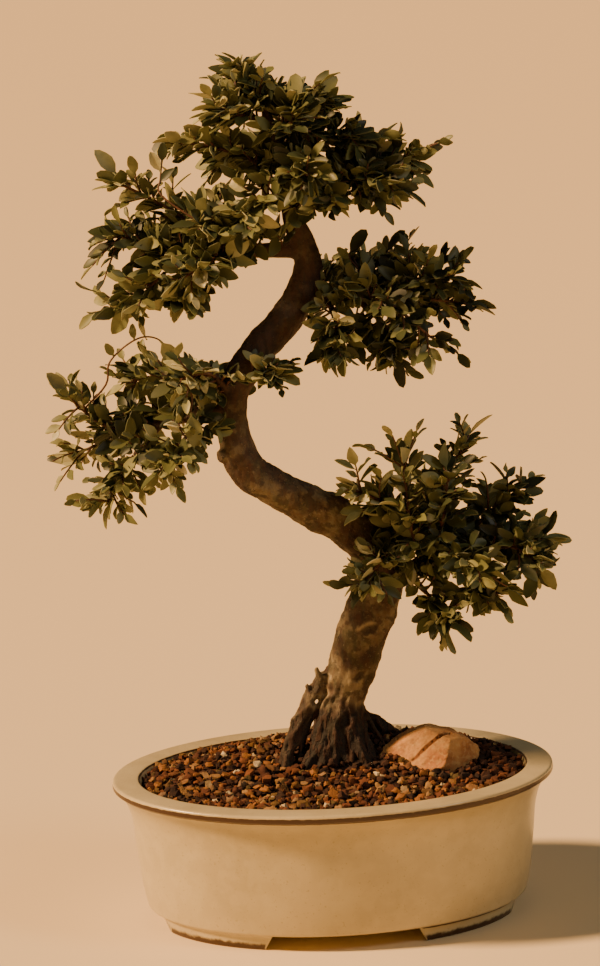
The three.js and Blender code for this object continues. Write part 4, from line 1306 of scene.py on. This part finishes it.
def add_leaders(foliage, shoot, name, curve):
    """Adds the leaves of this spray's outstanding shoots and gives their twigs."""
    twigs = []
    for number, (spray, points, leaves) in enumerate(LEADERS):
        if spray != name:
            continue
        route = smooth_route([nearest_wood(curve, shoot, points[0]), *points], 5)
        twigs.append((route, 0.5, 0.35, 5))
        for index, (share, tip) in enumerate(leaves):
            foot = route[round(share * (len(route) - 1))]
            blade = Vector(tip) - foot
            heading = blade.normalized()
            normal = scatter(0.5, (91, 92, 93), number, index) + Vector((-0.2, -0.7, 0.6))
            place = basis(foot, heading, square_to(heading, normal))
            key = 900 + index
            form = leaf_form(shoot, key, False)
            foliage.add(place, blade.length / LEAF["length"], form, leaf_tint_and_light(shoot, key, foot))
    return twigs


def twig_leaves(curve):
    """Added leaves all round a spray's twig: each one's point, way, lean and share of the full size."""
    leaves = []
    for index in range(EXTRA_LEAVES):
        t = (index + 0.6) / EXTRA_LEAVES
        way = curve.way(t)
        lean = Quaternion(way, index * LEAF_TURN) @ way.orthogonal().normalized()
        leaves.append((curve.point(t), way * 0.6, lean, 1.0))
    return leaves


def side_leaves(twig):
    """Leaves along a side twig, on its two sides in turn, with the last at its end."""
    leaves = []
    for leaf in range(SIDE_LEAVES):
        along = (leaf + 1) / SIDE_LEAVES
        side = -1 if leaf % 2 else 1
        lean = twig.way(along).cross(UP).normalized() * side * (0 if leaf == SIDE_LEAVES - 1 else 1.1)
        leaves.append((twig.point(along), twig.way(along), lean, 1.05 - 0.3 * along))
    return leaves


def spur_leaves(spur):
    """Leaves all round the outer part of a spur."""
    leaves = []
    for leaf in range(SPUR_LEAVES):
        along = mix(0.6, 1, leaf / (SPUR_LEAVES - 1))
        way = spur.way(along)
        lean = Quaternion(way, leaf * 2.2) @ way.orthogonal().normalized()
        leaves.append((spur.point(along), way * 0.7, lean * 0.9, 0.95))
    return leaves


def side_twigs(shoot, name, curve):
    """The side twigs of a spray, with those that reach where the photograph shows more leaves."""
    twigs = []
    for index in range(SIDE_TWIGS):
        t = (index + 0.15 + 0.5 * draw(shoot, index, 61)) / SIDE_TWIGS
        length = mix(7, 18, draw(shoot, index, 62)) * (1 - 0.3 * t)
        turn = index * LEAF_TURN + draw(shoot, 63) * WHOLE_TURN
        twigs.append(side_twig(curve.point(t), curve.way(t), turn, length, 0.9))
    for end in REACHING.get(name, ()):
        start = nearest_wood(curve, shoot, end)
        twigs.append(Shoot(start, start.lerp(Vector(end), 0.5) + UP * 1.5, Vector(end)))
    return [twig for twig in twigs if has_room(twig.end)]


def spurs(shoot):
    """Short spurs along a spray's branch. One that would hang down leaves from the other side."""
    _, branch_radius, points, _ = BRANCHES[shoot]
    wood = smooth_route(points, 8)
    ways = route_ways(wood)
    radii = taper([branch_radius, BRANCH_TIP_RADIUS], len(wood))
    count, first = (MAIN_SPURS, 0.12) if branch_radius > MAIN_BRANCH_RADIUS else (SPURS, 0.3)
    made = []
    for index in range(count):
        place = int(mix(first, 0.98, (index + draw(shoot, index, 64)) / count) * (len(wood) - 1))
        reach = radii[place] + mix(4, 11, draw(shoot, index, 66))
        turn = index * SPUR_TURN + draw(shoot, 65) * WHOLE_TURN
        spur = side_twig(wood[place], ways[place], turn, reach, 1.1)
        if spur.end.z < wood[place].z - reach * 0.3:
            spur = side_twig(wood[place], ways[place], turn + math.pi, reach, 1.1)
        made.append(spur)
    return [spur for spur in made if has_room(spur.end)]


def make_spray(shoot, name, materials):
    """One spray: the leaves of its solid, the added ones on their twigs, and its outstanding shoots."""
    foliage = Foliage()
    curve, kept = kept_leaves(shoot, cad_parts[name])
    for key, (place, size) in enumerate(kept):
        tint = leaf_tint_and_light(shoot, key, place.translation)
        foliage.add(place, size * KEPT_SHARE, leaf_form(shoot, key, True), tint)
    twigs = [(curve.route(10), TWIG["base"], TWIG["tip"], 7)]
    added = twig_leaves(curve)
    for twig in side_twigs(shoot, name, curve):
        twigs.append((twig.route(4), 0.55, 0.35, 5))
        added += side_leaves(twig)
    for spur in spurs(shoot):
        twigs.append((spur.route(3), 0.6, 0.4, 5))
        added += spur_leaves(spur)
    for key, (point, forward, lean, share) in enumerate(added, len(kept)):
        place = outer_leaf(shoot, key, point, forward, lean)
        size = share * mix(0.42, 0.98, draw(shoot, key, 57) ** 2)
        if has_room(place @ Vector((LEAF["length"] * size, 0, 0))):
            foliage.add(place, size, leaf_form(shoot, key, False), leaf_tint_and_light(shoot, key, point))
    twigs += add_leaders(foliage, shoot, name, curve)
    foliage.close()
    bm = foliage.bm
    for route, first, last, sides in twigs:
        for face in tube(bm, route, taper([first, last], len(route)), sides):
            face.material_index = 2
    return piece_of(name + "_fine", bm, materials, "leaf", name)


def make_foliage():
    materials = [
        leaf_material(
            "leaf upper side",
            [(0.0, "1a2016"), (0.26, "3a4227"), (0.5, "686d41"), (0.74, "95966a"), (1.0, "cbc7a0")],
            "b2b287", 0.5, 0.12,
        ),
        leaf_material(
            "leaf under side",
            [(0.0, "3d432c"), (0.5, "74794f"), (1.0, "b4b28c")],
            "bdbb94", 0.68, -0.1,
        ),
        twig_material(),
    ]
    counts = {}
    for shoot, (pad, *_) in enumerate(BRANCHES):
        counts[pad] = counts.get(pad, 0) + 1
        make_spray(shoot, f"spray_{pad}_{counts[pad]:02d}", materials)


# Stage, lights and camera


def make_stage():
    bm = bmesh.new()
    bmesh.ops.create_circle(bm, cap_ends=True, segments=96, radius=30)
    floor = put_in_scene("floor", mesh_of("floor", bm))
    material = bpy.data.materials.new("pale floor")
    material.use_nodes = True
    shader = material.node_tree.nodes["Principled BSDF"]
    shader.inputs["Base Color"].default_value = colour("ead6b0")
    shader.inputs["Roughness"].default_value = 0.9
    floor.data.materials.append(material)
    world = bpy.data.worlds.new("studio")
    bpy.context.scene.world = world
    world.use_nodes = True
    background = world.node_tree.nodes["Background"]
    background.inputs["Color"].default_value = colour("f0d9b8")
    background.inputs["Strength"].default_value = 0.09


def add_light(name, kind, place, power, code, **settings):
    """A lamp that shines from its place towards the middle of the tree."""
    light = bpy.data.lights.new(name, kind)
    light.energy = power
    light.color = colour(code)[:3]
    for key, value in settings.items():
        setattr(light, key, value)
    lamp = put_in_scene(name, light)
    lamp.location = MIDDLE + Vector(place)
    aim = MIDDLE + Vector((0, 0, 0.2)) - lamp.location
    lamp.rotation_euler = aim.to_track_quat("-Z", "Y").to_euler()


def make_camera():
    pitch, yaw = math.radians(VIEW["pitch"]), math.radians(VIEW["yaw"])
    back = Vector((-math.sin(yaw) * math.cos(pitch), -math.cos(yaw) * math.cos(pitch), math.sin(pitch)))
    data = bpy.data.cameras.new("photo view")
    camera = put_in_scene("photo view", data)
    bpy.context.scene.camera = camera
    data.sensor_width = SENSOR
    data.lens = PHOTO["focus"] * SENSOR / max(PHOTO["width"], PHOTO["height"])
    data.clip_start = 0.1
    data.clip_end = 50
    right = PHOTO["width"] / 2 - PHOTO["axis_x"]
    up = PHOTO["axis_y"] - PHOTO["height"] / 2
    off_axis = Vector((right, up, -PHOTO["focus"]))
    turn = (-back).to_track_quat("-Z", "Y") @ Quaternion((0, 0, 1), -math.radians(VIEW["roll"]))
    turn = turn @ Vector((0, 0, -1)).rotation_difference(off_axis)
    camera.rotation_mode = "QUATERNION"
    camera.rotation_quaternion = turn
    camera.location = TO_FRAME @ (Vector(VIEW["target"]) + back * VIEW["distance"])


def solid_shape(piece):
    """A piece's surface in millimetres, for finding what lies in or near it."""
    bm = bmesh.new()
    bm.from_mesh(piece.data)
    bm.transform(FROM_FRAME)
    shape = BVHTree.FromBMesh(bm)
    bm.free()
    return shape


make_camera()
make_stage()
add_light("key", "SUN", (-2.38, -0.33, 2.06), 8.3, "ffc98e", angle=math.radians(8))
add_light("fill", "AREA", (2.4, -1.5, 2.3), 26, "fff0da", shape="DISK", size=1.0)
make_pot()
trunk = make_trunk()
stone = make_stone()
grain = soil_material()
make_soil(grain)
make_grains(grain, grain_spots([solid_shape(trunk), solid_shape(stone)]))
make_foliage()
screen = screen_material()
for side in ("left", "right"):
    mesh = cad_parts[f"drain_screen_{side}"].data
    mesh.materials.clear()
    mesh.materials.append(screen)
